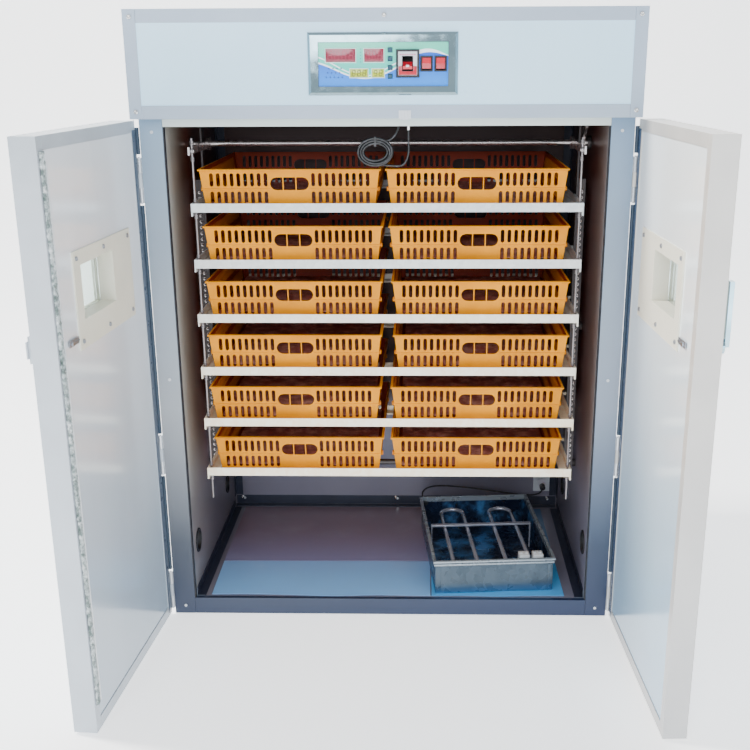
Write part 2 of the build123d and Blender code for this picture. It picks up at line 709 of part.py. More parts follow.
with BuildPart() as sensor_coil:
    with BuildSketch(Plane.XZ.offset(-coil_y - 7)):
        with Locations((coil_x, coil_z)):
            Ellipse(38, 29)
            Ellipse(23, 12, mode=Mode.SUBTRACT)
    extrude(amount=14)
save(sensor_coil.part, "sensor_coil")

pan_back = pan_y + 203
pan_lead = [
    (78, pan_back - 4, 112), (74, pan_back + 8, 117), (76, pan_back + 24, 124), (90, pan_back + 42, 128),
    (116, pan_back + 56, 127), (150, pan_back + 66, 122), (192, pan_back + 72, 116), (236, pan_back + 74, 110),
    (280, pan_back + 72, 104), (320, pan_back + 68, 99), (356, pan_back + 66, 96), (384, pan_back + 70, 97),
    (398, pan_back + 82, 101), (socket_x, pan_back + 98, 104),
]
with BuildPart() as pan_cable:
    cord_tube(pan_lead)
    print("lead volume", round(pan_cable.part.volume, 1))
    rod("Y", (socket_x, pan_back + 98 + 10, 104), 7.5, 20)
save(pan_cable.part, "pan_cable")

print("nodes", nodes)
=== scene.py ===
import math

import bmesh
import bpy
from mathutils import Matrix, Vector


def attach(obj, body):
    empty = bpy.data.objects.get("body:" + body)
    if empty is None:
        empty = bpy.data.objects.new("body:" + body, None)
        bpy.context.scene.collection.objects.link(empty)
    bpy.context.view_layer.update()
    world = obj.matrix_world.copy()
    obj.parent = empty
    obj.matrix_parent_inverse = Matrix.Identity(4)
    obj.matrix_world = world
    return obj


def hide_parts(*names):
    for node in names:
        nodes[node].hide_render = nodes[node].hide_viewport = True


# Looks for the cabinet egg incubator. Metres, in the same frame as the CAD.

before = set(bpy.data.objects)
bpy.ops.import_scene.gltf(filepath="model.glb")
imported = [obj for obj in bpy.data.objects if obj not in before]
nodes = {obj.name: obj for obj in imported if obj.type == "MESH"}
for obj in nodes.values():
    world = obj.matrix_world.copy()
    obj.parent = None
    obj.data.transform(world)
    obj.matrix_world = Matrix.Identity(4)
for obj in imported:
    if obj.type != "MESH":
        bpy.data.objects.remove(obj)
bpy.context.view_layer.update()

shelfPitch = 0.1157
shelfPivots = [0.920 - k * shelfPitch for k in range(6)]
shaftHeight = 1.0357
weldGap = 0.00002
headerFace = -0.340
frameFront = -0.292
pivotY = -0.040
doorSizes = {"left": (-1, 94.1), "right": (1, 92.7), "pin": 0.500, "screwU": (0.108, 0.244, 0.382),
             "screwV": (0.738, 0.885)}


# camera, floor and lights


def aimAt(thing, target):
    thing.rotation_euler = (Vector(target) - thing.location).to_track_quat("-Z", "Y").to_euler()


def makeCamera():
    view = {"place": (0.0778, -2.5956, 1.2084), "yaw": -1.487, "pitch": 18.796, "roll": -0.29,
            "lens": 53.52, "shiftX": -0.0285, "shiftY": 0.0869}
    camera = bpy.data.objects.new("camera", bpy.data.cameras.new("camera"))
    bpy.context.scene.collection.objects.link(camera)
    camera.data.lens, camera.data.sensor_width = view["lens"], 36
    camera.data.shift_x, camera.data.shift_y = view["shiftX"], view["shiftY"]
    camera.data.clip_start, camera.data.clip_end = 0.05, 60
    camera.location = view["place"]
    turn = (Matrix.Rotation(math.radians(-view["yaw"]), 4, "Z")
            @ Matrix.Rotation(math.radians(90 - view["pitch"]), 4, "X")
            @ Matrix.Rotation(math.radians(view["roll"]), 4, "Z"))
    camera.rotation_euler = turn.to_euler()
    bpy.context.scene.camera = camera


def addAreaLight(name, place, target, size, power, colour):
    light = bpy.data.objects.new(name, bpy.data.lights.new(name, "AREA"))
    bpy.context.scene.collection.objects.link(light)
    light.data.shape, light.data.size = "DISK", size
    light.data.energy, light.data.color = power, colour
    light.location = place
    aimAt(light, target)


def makeLights():
    addAreaLight("keyLight", (-3.9, 0.25, 4.6), (0.35, -0.45, 0.5), 0.9, 620, (1.0, 0.97, 0.92))
    addAreaLight("frontFill", (-0.6, -4.6, 2.6), (0, -0.3, 0.7), 3.0, 150, (0.90, 0.95, 1.0))
    addAreaLight("lowFill", (1.9, -3.9, 0.9), (0, 0, 0.4), 1.8, 26, (0.74, 0.86, 1.0))
    world = bpy.data.worlds.new("studio")
    world.use_nodes = True
    sky = world.node_tree.nodes["Background"]
    sky.inputs["Color"].default_value = (0.86, 0.93, 1.0, 1)
    sky.inputs["Strength"].default_value = 0.85
    bpy.context.scene.world = world


makeCamera()
makeLights()
print("camera and lights are set")


# small helpers for modelling


def deselectAll():
    if bpy.context.object and bpy.context.object.mode != "OBJECT":
        bpy.ops.object.mode_set(mode="OBJECT")
    bpy.ops.object.select_all(action="DESELECT")


def pick(*things):
    deselectAll()
    for thing in things:
        thing.select_set(True)
    bpy.context.view_layer.objects.active = things[0]


def settle(piece):
    pick(piece)
    bpy.ops.object.transform_apply(location=True, rotation=True, scale=True)
    return piece


def useModifier(piece, kind, **settings):
    modifier = piece.modifiers.new(kind.lower(), kind)
    for key, value in settings.items():
        setattr(modifier, key, value)
    pick(piece)
    bpy.ops.object.modifier_apply(modifier=modifier.name)


def smoothByAngle(piece, degrees=35):
    pick(piece)
    bpy.ops.object.shade_smooth_by_angle(angle=math.radians(degrees))


def softEdge(piece, width, segments=2):
    useModifier(piece, "BEVEL", width=width, segments=segments, limit_method="ANGLE")


def addBlock(name, low, high, bevel=0.0):
    deselectAll()
    middle = [(a + b) / 2 for a, b in zip(low, high)]
    bpy.ops.mesh.primitive_cube_add(size=1, location=middle)
    piece = bpy.context.object
    piece.name = name
    piece.scale = [abs(b - a) for a, b in zip(low, high)]
    settle(piece)
    if bevel:
        softEdge(piece, bevel)
        smoothByAngle(piece)
    return piece


def addRod(name, axis, middle, radius, length, sides=24, bevel=0.0):
    deselectAll()
    turn = {"X": (0, math.pi / 2, 0), "Y": (math.pi / 2, 0, 0), "Z": (0, 0, 0)}[axis]
    bpy.ops.mesh.primitive_cylinder_add(vertices=sides, radius=radius, depth=length,
                                        location=middle, rotation=turn)
    piece = settle(bpy.context.object)
    piece.name = name
    if bevel:
        softEdge(piece, bevel)
    smoothByAngle(piece)
    return piece


def addTorus(middle, radius, thick, around, across, turn=(0, 0, 0)):
    deselectAll()
    bpy.ops.mesh.primitive_torus_add(major_radius=radius, minor_radius=thick,
                                     major_segments=around, minor_segments=across,
                                     location=middle, rotation=turn)
    return settle(bpy.context.object)


def joined(name, parts):
    pick(*parts)
    if len(parts) > 1:
        bpy.ops.object.join()
    piece = bpy.context.object
    piece.name = name
    return piece


def copyOf(piece, name, move):
    twin = piece.copy()
    twin.data = piece.data.copy()
    twin.name = name
    twin.data.transform(move)
    bpy.context.scene.collection.objects.link(twin)
    return twin


def remove(piece):
    bpy.data.objects.remove(piece, do_unlink=True)


def cutAway(piece, cutter):
    useModifier(piece, "BOOLEAN", operation="DIFFERENCE", solver="EXACT", object=cutter)
    remove(cutter)


def outwards(piece, weld=True):
    pick(piece)
    bpy.ops.object.mode_set(mode="EDIT")
    bpy.ops.mesh.select_all(action="SELECT")
    if weld:
        bpy.ops.mesh.remove_doubles(threshold=weldGap)
    bpy.ops.mesh.normals_make_consistent(inside=False)
    bpy.ops.object.mode_set(mode="OBJECT")


def finish(piece, body, material, slot, *replaced):
    if material is not None:
        piece.data.materials.clear()
        piece.data.materials.append(material)
    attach(piece, body)
    if replaced:
        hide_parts(*replaced)
    return piece


# shader helpers


class Wire:
    # one output of a node, with arithmetic that adds Math nodes
    def __init__(self, mix, socket):
        self.mix, self.socket = mix, socket

    def maths(self, operation, *others):
        values = {k: other for k, other in enumerate((self, *others))}
        return self.mix.node("ShaderNodeMath", {"operation": operation}, values)

    def __add__(self, other):
        return self.maths("ADD", other)

    def __sub__(self, other):
        return self.maths("SUBTRACT", other)

    def __mul__(self, other):
        return self.maths("MULTIPLY", other)

    def __truediv__(self, other):
        return self.maths("DIVIDE", other)

    def __lt__(self, other):
        return self.maths("LESS_THAN", other)

    def __gt__(self, other):
        return self.maths("GREATER_THAN", other)

    def __rsub__(self, other):
        return self.mix.node("ShaderNodeMath", {"operation": "SUBTRACT"}, {0: other, 1: self})

    __radd__ = __add__
    __rmul__ = __mul__

    def size(self):
        return self.maths("ABSOLUTE")

    def band(self, low, high):
        # 0 below low, 1 above high and smooth between
        return self.mix.node("ShaderNodeMapRange", {"interpolation_type": "SMOOTHSTEP"},
                             {"Value": self, "From Min": low, "From Max": high})


def withAlpha(value):
    # a colour gets its alpha, and a plain number stays as it is
    return (*value, 1) if hasattr(value, "__len__") else value


class Finish:
    # a material under construction
    def __init__(self, name, roughness=0.4, metallic=0.0, **constants):
        self.material = bpy.data.materials.new(name)
        self.material.use_nodes = True
        self.tree = self.material.node_tree
        self.shader = self.tree.nodes["Principled BSDF"]
        self.shader.inputs["Roughness"].default_value = roughness
        self.shader.inputs["Metallic"].default_value = metallic
        for key, value in constants.items():
            self.shader.inputs[key.replace("_", " ")].default_value = value
        self.where = self.node("ShaderNodeTexCoord", out="Object")
        apart = self.node("ShaderNodeSeparateXYZ", None, {0: self.where})
        self.x, self.y, self.z = (Wire(self, apart.socket.node.outputs[k]) for k in range(3))

    def node(self, kind, settings=None, values=None, out=0):
        made = self.tree.nodes.new(kind)
        for key, value in (settings or {}).items():
            if key == "stops":
                ramp = made.color_ramp
                while len(ramp.elements) < len(value):
                    ramp.elements.new(0.5)
                for element, (at, colour) in zip(ramp.elements, value):
                    element.position = at
                    plain = not hasattr(colour, "__len__")
                    element.color = (colour, colour, colour, 1) if plain else (*colour, 1)
            elif key == "rampStyle":
                made.color_ramp.interpolation = value
            else:
                setattr(made, key, value)
        for key, value in (values or {}).items():
            if isinstance(value, Wire):
                self.tree.links.new(value.socket, made.inputs[key])
            else:
                made.inputs[key].default_value = value
        return Wire(self, made.outputs[out])

    def noise(self, scale, detail=3, roughness=0.5, stretch=(1, 1, 1)):
        place = self.where
        if stretch != (1, 1, 1):
            place = self.node("ShaderNodeMapping", None, {"Vector": self.where, "Scale": stretch})
        return self.node("ShaderNodeTexNoise", None,
                         {"Vector": place, "Scale": scale, "Detail": detail,
                          "Roughness": roughness})

    def cells(self, scale):
        return self.node("ShaderNodeTexVoronoi", None, {"Vector": self.where, "Scale": scale},
                         out="Color")

    def ramp(self, value, stops, style="LINEAR"):
        return self.node("ShaderNodeValToRGB", {"stops": stops, "rampStyle": style}, {0: value})

    def blend(self, first, second, amount, how="MIX"):
        made = self.tree.nodes.new("ShaderNodeMix")
        made.data_type, made.blend_type = "RGBA", how
        for key, value in ((0, amount), (6, first), (7, second)):
            if isinstance(value, Wire):
                self.tree.links.new(value.socket, made.inputs[key])
            else:
                made.inputs[key].default_value = withAlpha(value)
        return Wire(self, made.outputs[2])

    def feed(self, name, value):
        if isinstance(value, Wire):
            self.tree.links.new(value.socket, self.shader.inputs[name])
        else:
            self.shader.inputs[name].default_value = withAlpha(value)

    def bump(self, height, strength=0.3, distance=0.0005):
        self.feed("Normal", self.node("ShaderNodeBump", None,
                                      {"Strength": strength, "Distance": distance,
                                       "Height": height}, out="Normal"))

    def grain(self, middle, pattern, swing):
        self.feed("Roughness", middle + (pattern - 0.5) * swing)

    def done(self, tone, height, strength, distance):
        self.feed("Base Color", tone)
        self.bump(height, strength, distance)
        return self.material

    def inside(self, wire, low, high, soft=0.002):
        return wire.band(low - soft, low + soft) * (1 - wire.band(high - soft, high + soft))


def paintedPanel(name, top, bottom, roughness=0.3, gloss=0.25, side=""):
    # coated sheet steel: fine orange peel, wide waves and a few wipe marks
    made = Finish(name, roughness=roughness, Coat_Roughness=0.12, Coat_Weight=gloss)
    # darker and bluer towards the bottom: painted reflection of the blue floor and sky
    level = made.z.band(0.0, 1.05)
    tone = made.blend(bottom, top, level)
    if side:
        # the painted reflection is on the inner face only; the outer face is plain
        sign, angle = doorSizes[side][0], math.radians(doorSizes[side][1])
        across = ((made.x - sign * doorSizes["pin"]) * (-sign * math.sin(angle))
                  + (made.y - frameFront) * math.cos(angle))
        tone = made.blend((0.58, 0.68, 0.78), tone, across.band(-0.016, -0.012))
    wide = made.noise(2.2, 2, 0.4)
    streak = made.noise(7, 4, 0.6, (3.0, 3.0, 0.35))
    tone = made.blend(tone, (0.62, 0.66, 0.72), (streak - 0.45) * 0.22, "MULTIPLY")
    tone = made.blend(tone, (1.0, 0.99, 0.96), (wide - 0.4) * 0.3)
    made.grain(roughness, made.noise(35, 5, 0.7), 0.16)
    return made.done(tone, made.noise(900, 2, 0.5) * 0.25 + made.noise(5, 1, 0.4) * 6, 0.18, 0.0006)


def brushedMetal(name, colour, roughness, metallic, along="Z"):
    made = Finish(name, roughness=roughness, metallic=metallic)
    stretch = {"X": (0.03, 1, 1), "Y": (1, 0.03, 1), "Z": (1, 1, 0.03)}[along]
    lines = made.noise(900, 3, 0.6, stretch)
    dull = made.noise(9, 4, 0.6)
    tone = made.blend(colour, tuple(0.72 * c for c in colour), lines.band(0.35, 0.75) * 0.5)
    tone = made.blend(tone, tuple(min(1, 1.25 * c) for c in colour), dull.band(0.5, 0.8) * 0.35)
    made.feed("Roughness", roughness + (dull - 0.5) * 0.22 + (lines - 0.5) * 0.12)
    return made.done(tone, lines, 0.12, 0.0002)


def moulded(name, colour, roughness=0.38, speckle=0.12, **constants):
    made = Finish(name, roughness=roughness, **constants)
    cloud = made.noise(14, 3, 0.5)
    tone = made.blend(colour, tuple(0.80 * c for c in colour), cloud.band(0.35, 0.75) * speckle * 3)
    made.grain(roughness, made.noise(60, 4, 0.6), 0.2)
    return made.done(tone, made.noise(1400, 2, 0.6), 0.12, 0.0002)


# cords: the sensor lead with its hank, and the pan's lead

sensorRoute = {
    "radius": 0.0022,
    "coilMiddle": (-0.022, -0.280, 1.034),
    "halfAxes": (0.0300, 0.0222),
    "feed": [(0.027, -0.262, 1.152), (0.0275, -0.262, 1.138), (0.028, -0.2635, 1.124),
             (0.028, -0.267, 1.108), (0.027, -0.271, 1.092), (0.024, -0.275, 1.077),
             (0.017, -0.280, 1.065), (0.008, -0.280, 1.057)],
    "tail": [(0.014, -0.2795, 1.0065), (0.032, -0.279, 1.006), (0.041, -0.2775, 1.016),
             (0.045, -0.276, 1.030), (0.0455, -0.275, 1.046), (0.045, -0.2735, 1.062),
             (0.045, -0.273, 1.076)],
    "step": 0.0050, "squeeze": 0.98, "wander": 0.0003,
    "turnPoints": 16, "firstAngle": 80, "lastAngle": 290, "slotAngle": 40, "stay": 0.55,
    "probe": (0.045, -0.273, 1.089),
    "tie": ((-0.0245, -0.2868, 1.0448), (-0.0195, -0.2722, 1.0642)),
}


def hankPoints(route):
    # nine slots in the hank's section, laid in turn: inner layer, middle layer and outer layer
    slots = [(-1, -1), (-1, 0), (-1, 1), (0, 1), (0, 0), (0, -1), (1, -1), (1, 0), (1, 1)]
    middle, points, final = Vector(route["coilMiddle"]), [], len(slots) - 1
    first = math.radians(route["firstAngle"])
    last = math.radians(route["lastAngle"]) + 2 * math.pi * final
    count = int(route["turnPoints"] * (last - first) / (2 * math.pi))
    for k in range(count + 1):
        angle = first + (last - first) * k / count
        turns = (angle - math.radians(route["slotAngle"])) / (2 * math.pi)
        slot = min(int(turns), final)
        # the cord stays in its slot for part of a turn and then eases into the next one
        part = min(max((turns - slot - route["stay"]) / (1 - route["stay"]), 0), 1)
        part = part * part * (3 - 2 * part)
        after = slots[min(slot + 1, final)]
        out, across = (a + (b - a) * part for a, b in zip(slots[slot], after))
        wander = route["wander"] * math.sin(2.3 * slot + 2 * angle)
        reach = [half + out * route["step"] + wander for half in route["halfAxes"]]
        points.append(middle + Vector((reach[0] * math.cos(angle),
                                       across * route["step"] * route["squeeze"],
                                       reach[1] * math.sin(angle))))
    return [tuple(point) for point in points]


def makeCord(name, points, radius):
    curve = bpy.data.curves.new(name, "CURVE")
    curve.dimensions = "3D"
    spline = curve.splines.new("NURBS")
    spline.points.add(len(points) - 1)
    for spot, point in zip(spline.points, points):
        spot.co = (*point, 1)
    spline.order_u = 3
    spline.use_endpoint_u = True
    curve.resolution_u = 6
    curve.bevel_depth, curve.bevel_resolution = radius, 5
    curve.use_fill_caps = True
    piece = bpy.data.objects.new(name, curve)
    bpy.context.scene.collection.objects.link(piece)
    return piece


def routeLength(piece):
    flat = piece.copy()
    flat.data = piece.data.copy()
    flat.data.bevel_depth = 0
    bpy.context.scene.collection.objects.link(flat)
    bpy.context.view_layer.update()
    graph = bpy.context.evaluated_depsgraph_get()
    line = bpy.data.meshes.new_from_object(flat.evaluated_get(graph))
    spots = [v.co.copy() for v in line.vertices]
    remove(flat)
    return sum((b - a).length for a, b in zip(spots, spots[1:]))


def makeRubber():
    made = Finish("cableRubber", roughness=0.42, Specular_IOR_Level=0.55)
    worn = made.noise(90, 3).band(0.45, 0.75)
    tone = made.blend((0.012, 0.012, 0.013), (0.045, 0.045, 0.05), worn)
    return made.done(tone, made.noise(500, 2), 0.15, 0.0002)


def makeSensorCord(rubber):
    route = sensorRoute
    points = route["feed"] + hankPoints(route) + route["tail"]
    cord = makeCord("sensorCord", points, route["radius"])
    cord.data.materials.append(rubber)
    probe = addRod("probeSleeve", "Z", route["probe"], 0.0034, 0.026, 20, 0.0008)
    finish(probe, "cabinet", steelBright, "cable_black")
    tie = addBlock("hankTie", *route["tie"], 0.0010)
    finish(tie, "cabinet", rubber, "cable_black")
    finish(cord, "cabinet", None, "cable_black", "sensor_cable", "sensor_coil")
    length = routeLength(cord)
    print("sensor cord length", round(length, 3))


panRadius = 0.0022
panRoute = [(0.078, 0.144, 0.112), (0.074, 0.156, 0.117), (0.076, 0.172, 0.124),
            (0.090, 0.190, 0.128),
            (0.116, 0.204, 0.127), (0.150, 0.214, 0.122), (0.192, 0.220, 0.116),
            (0.236, 0.222, 0.110), (0.280, 0.220, 0.104), (0.320, 0.216, 0.099),
            (0.356, 0.214, 0.096),
            (0.384, 0.218, 0.097), (0.398, 0.230, 0.101), (0.402, 0.246, 0.104)]


def makePanCord(rubber):
    cord = makeCord("panLead", panRoute, panRadius)
    cord.data.materials.append(rubber)
    plug = addRod("panPlug", "Y", (0.402, 0.256, 0.104), 0.0075, 0.020, 24, 0.0012)
    finish(plug, "pan", rubber, "cable_black")
    length = routeLength(cord)
    print("pan lead length", round(length, 3))
    finish(cord, "pan", None, "cable_black", "pan_cable")


steelBright = brushedMetal("steelBright", (0.74, 0.73, 0.72), 0.22, 0.95, "X")
rubber = makeRubber()
makeSensorCord(rubber)
makePanCord(rubber)
print("cords are laid")


# egg baskets: one slotted tub, copied onto every shelf

basketSizes = {
    "rim": (0.376, 0.456), "height": 0.076, "taper": 0.009, "corner": 0.020, "wall": 0.0022,
    "slotWidth": 0.0076, "slotPitch": 0.014, "firstSlot": 0.049, "frontSlots": 9, "sideSlots": 14,
    "upper": (0.041, 0.068), "lower": (0.0045, 0.0305), "cutDepth": 0.04,
    "handHole": (0.080, 0.0335, 0.0592), "handBar": 0.0022,
    "floorHole": (0.012, 0.010), "floorPitch": (0.034, 0.030), "floorHoles": (4, 6),
    "lip": (0.0035, 0.0052), "rib": (0.0338, 0.0372, 0.0062, 0.0030), "ribGap": (0.0415, 0.2225),
    "lug": (0.1822, 0.205), "mat": (0.334, 0.414), "matCells": (44, 54), "matLow": 0.0036,
    "lows": [pivot - 0.006 + 0.009 + 0.0005 for pivot in shelfPivots],
    "left": (-0.200, -0.196, -0.198, -0.200, -0.202, -0.198),
    "right": (0.185, 0.191, 0.196, 0.199, 0.193, 0.193),
}


def roundedBlock(width, depth, low, high, axis, radius, segments):
    # a block whose edges along one axis are rounded; it is left in edit mode
    deselectAll()
    bpy.ops.mesh.primitive_cube_add(size=1, location=(0, 0, (low + high) / 2))
    piece = bpy.context.object
    size = (width, depth, high - low)
    piece.scale = size
    settle(piece)
    bpy.ops.object.mode_set(mode="EDIT")
    mesh = bmesh.from_edit_mesh(piece.data)
    for edge in mesh.edges:
        ends = edge.verts[0].co - edge.verts[1].co
        edge.select_set(abs(ends[axis]) > size[axis] / 2)
    bmesh.update_edit_mesh(piece.data)
    bpy.ops.mesh.bevel(offset=radius, segments=segments)
    return piece


def slotCutter(width, low, high, depth):
    # a rounded slot through a wall that faces along Y, its middle at the origin of X and Y
    cutter = roundedBlock(width, depth, low, high, 1, min(width, high - low) * 0.49, 3)
    bpy.ops.object.mode_set(mode="OBJECT")
    return cutter


def wallCutters(sizes, count, half, hands, turned):
    # slots of two opposite walls: an upper and a lower row, and hand holes in three parts
    parts, depth = [], sizes["cutDepth"]
    turn = Matrix.Rotation(math.pi / 2, 4, "Z") if turned else Matrix.Identity(4)
    upper = slotCutter(sizes["slotWidth"], *sizes["upper"], depth)
    lower = slotCutter(sizes["slotWidth"], *sizes["lower"], depth)
    first = sizes["firstSlot"] if hands else 0.0
    spots = [first + k * sizes["slotPitch"] for k in range(count)]
    spots = sorted({*spots, *[-x for x in spots]})
    for end in (-1, 1):
        for x in spots:
            for shape in (upper, lower):
                parts.append(copyOf(shape, "cut", turn @ Matrix.Translation((x, end * half, 0))))
        if hands:
            width, low, high = sizes["handHole"]
            bar = sizes["handBar"] / 2
            hole = slotCutter(width, low, high, depth)
            for bridge in [addBlock("bar", (x - bar, -0.03, low - 0.01),
                                    (x + bar, 0.03, high + 0.01))
                           for x in (-width / 6, width / 6)]:
                cutAway(hole, bridge)
            parts.append(copyOf(hole, "cut", Matrix.Translation((0, end * half, 0))))
            remove(hole)
    remove(upper)
    remove(lower)
    return parts


def floorCutters(sizes):
    (halfX, halfY), (stepX, stepY) = sizes["floorHole"], sizes["floorPitch"]
    across, along = sizes["floorHoles"]
    hole = addBlock("hole", (-halfX, -halfY, -0.004), (halfX, halfY, 0.006))
    parts = [copyOf(hole, "cut", Matrix.Translation((stepX * i, stepY * j, 0)))
             for i in range(-across, across + 1) for j in range(-along, along + 1)]
    remove(hole)
    return parts


def makeTub(sizes):
    width, length = sizes["rim"][0] - 0.006, sizes["rim"][1] - 0.006
    tub = roundedBlock(width, length, 0, sizes["height"], 2, sizes["corner"], 6)
    mesh = bmesh.from_edit_mesh(tub.data)
    # the floor is smaller than the rim, and the top is open
    shrink = (1 - 2 * sizes["taper"] / width, 1 - 2 * sizes["taper"] / length)
    for vert in mesh.verts:
        if vert.co.z < 0.001:
            vert.co.x *= shrink[0]
            vert.co.y *= shrink[1]
    top = [face for face in mesh.faces if face.normal.z > 0.9]
    bmesh.ops.delete(mesh, geom=top, context="FACES_ONLY")
    bmesh.update_edit_mesh(tub.data)
    bpy.ops.object.mode_set(mode="OBJECT")
    useModifier(tub, "SOLIDIFY", thickness=sizes["wall"], offset=-1, use_even_offset=True)
    return tub


def addRing(name, low, high, out, thick, sizes):
    # a rounded rectangular ring round the tub, such as its lip or its middle rib
    width, length = (side - 2 * out for side in sizes["rim"])
    ring = roundedBlock(width, length, low, high, 2, sizes["corner"], 6)
    mesh = bmesh.from_edit_mesh(ring.data)
    ends = [face for face in mesh.faces if abs(face.normal.z) > 0.9]
    bmesh.ops.delete(mesh, geom=ends, context="FACES_ONLY")
    bmesh.update_edit_mesh(ring.data)
    bpy.ops.object.mode_set(mode="OBJECT")
    useModifier(ring, "SOLIDIFY", thickness=thick, offset=-1, use_even_offset=True)
    useModifier(ring, "BEVEL", width=min(thick, high - low) * 0.3, segments=2,
                limit_method="ANGLE", angle_limit=1.0)
    ring.name = name
    return ring


def makeMat(sizes):
    # the crumpled pale film that lies on a basket's floor
    deselectAll()
    across, along = sizes["matCells"]
    bpy.ops.mesh.primitive_grid_add(x_subdivisions=across, y_subdivisions=along, size=1,
                                    location=(0, 0, 0.0045))
    mat = bpy.context.object
    mat.scale = (*sizes["mat"], 1)
    settle(mat)
    crumple = bpy.data.textures.new("crumple", "CLOUDS")
    crumple.noise_scale, crumple.noise_depth = 0.035, 3
    useModifier(mat, "DISPLACE", texture=crumple, strength=0.010, mid_level=0.3,
                texture_coords="LOCAL")
    for vert in mat.data.vertices:
        vert.co.z = max(vert.co.z, sizes["matLow"])
    useModifier(mat, "SOLIDIFY", thickness=0.0006, offset=1)
    smoothByAngle(mat, 60)
    return mat


def markShadedInside(basket):
    # 1 on faces that look into the basket, 0.5 on the sides of its slots and 0 outside: the mask of
    # the painted shade
    mesh = basket.data
    shade = mesh.color_attributes.new(name="inside", type="FLOAT_COLOR", domain="CORNER")
    for face in mesh.polygons:
        place, normal = face.center, face.normal
        axis = 0 if abs(place.x) / 0.18 > abs(place.y) / 0.22 else 1
        facing = normal[axis] * (1 if place[axis] > 0 else -1)
        value = 1.0 if facing < -0.5 else 0.5 if facing < 0.3 and abs(normal.z) < 0.7 else 0.0
        if normal.z > 0.7 and place.z < 0.01:
            value = 1.0
        for corner in face.loop_indices:
            shade.data[corner].color = (value, value, value, 1)


def makeBaskets(orange, film):
    sizes = basketSizes
    tub, both = makeTub(sizes), (-1, 1)
    cutters = wallCutters(sizes, sizes["frontSlots"], 0.222, True, False)
    cutters += wallCutters(sizes, sizes["sideSlots"], 0.182, False, True)
    cutters += floorCutters(sizes)
    cutAway(tub, joined("cutters", cutters))
    lipDepth, lipThick = sizes["lip"]
    lip = addRing("lip", sizes["height"] - lipDepth, sizes["height"], 0.0, lipThick, sizes)
    rib = addRing("rib", *sizes["rib"], sizes)
    # the rib stops at the hand holes
    gap, wall = sizes["ribGap"]
    for end in both:
        cutAway(rib, addBlock("gap", (-gap, end * wall - 0.02, 0.02),
                              (gap, end * wall + 0.02, 0.06)))
    x, y = sizes["lug"]
    lugs = [addBlock("lug", (side * x - 0.003, end * y - 0.005, 0.030),
                     (side * x + 0.003, end * y + 0.005, 0.0385), 0.001)
            for side in both for end in both]
    basket = joined("basketShape", [tub, lip, rib, *lugs])
    basket.data.materials.clear()
    basket.data.materials.append(orange)
    markShadedInside(basket)
    mat = makeMat(sizes)
    mat.data.materials.append(film)
    smoothByAngle(basket, 30)
    basket = joined("basketShape", [basket, mat])
    for row, low in enumerate(sizes["lows"]):
        for column, side in enumerate(("left", "right")):
            number = 2 * row + column + 1
            turn = Matrix.Rotation(math.pi * ((row + column) % 2), 4, "Z")
            place = Matrix.Translation((sizes[side][row], pivotY, low)) @ turn
            finish(copyOf(basket, f"eggBasket{number}", place), f"egg_basket_{number}", None,
                   "basket_orange", f"basket_{number}")
    remove(basket)


def makeOrange():
    made = Finish("basketOrange", roughness=0.40, Specular_IOR_Level=0.15)
    cloud = made.noise(9, 4, 0.6)
    tone = made.blend((0.66, 0.235, 0.0), (0.80, 0.30, 0.0), cloud.band(0.3, 0.7))
    tone = made.blend(tone, (0.62, 0.15, 0.0), made.noise(60, 3, 0.7).band(0.6, 0.85) * 0.30)
    within = made.node("ShaderNodeAttribute", {"attribute_name": "inside"}, out="Fac")
    # deep red on the faces inside the basket: painted shade
    tone = made.blend(tone, (0.34, 0.028, 0.0), within)
    made.grain(0.40, made.noise(120, 4, 0.6), 0.18)
    return made.done(tone, made.noise(700, 3, 0.6), 0.12, 0.0003)


def makeFilm():
    made = Finish("basketFilm", roughness=0.32)
    patch = made.noise(30, 4, 0.65).band(0.4, 0.7)
    tone = made.blend((0.42, 0.12, 0.10), (0.80, 0.42, 0.36), patch)
    return made.done(tone, made.noise(160, 4, 0.7), 0.5, 0.002)


makeBaskets(makeOrange(), makeFilm())
print("baskets are made")


# turning rack: perforated posts, link rods with nuts

rackSizes = {
    "post": 0.416, "thick": 0.004, "front": -0.055, "back": -0.025, "low": 0.268, "high": 1.175,
    "flange": (0.0035, 0.020, -0.0525), "flangeTop": 0.958, "inner": 0.445,
    "holes": 34, "holePitch": 0.026, "tieHeight": 0.283, "spacers": (0.283, 0.620, 1.160),
    "eyelet": (0.4275, 0.0030, 0.0012), "eyeletPitch": 0.013,
}


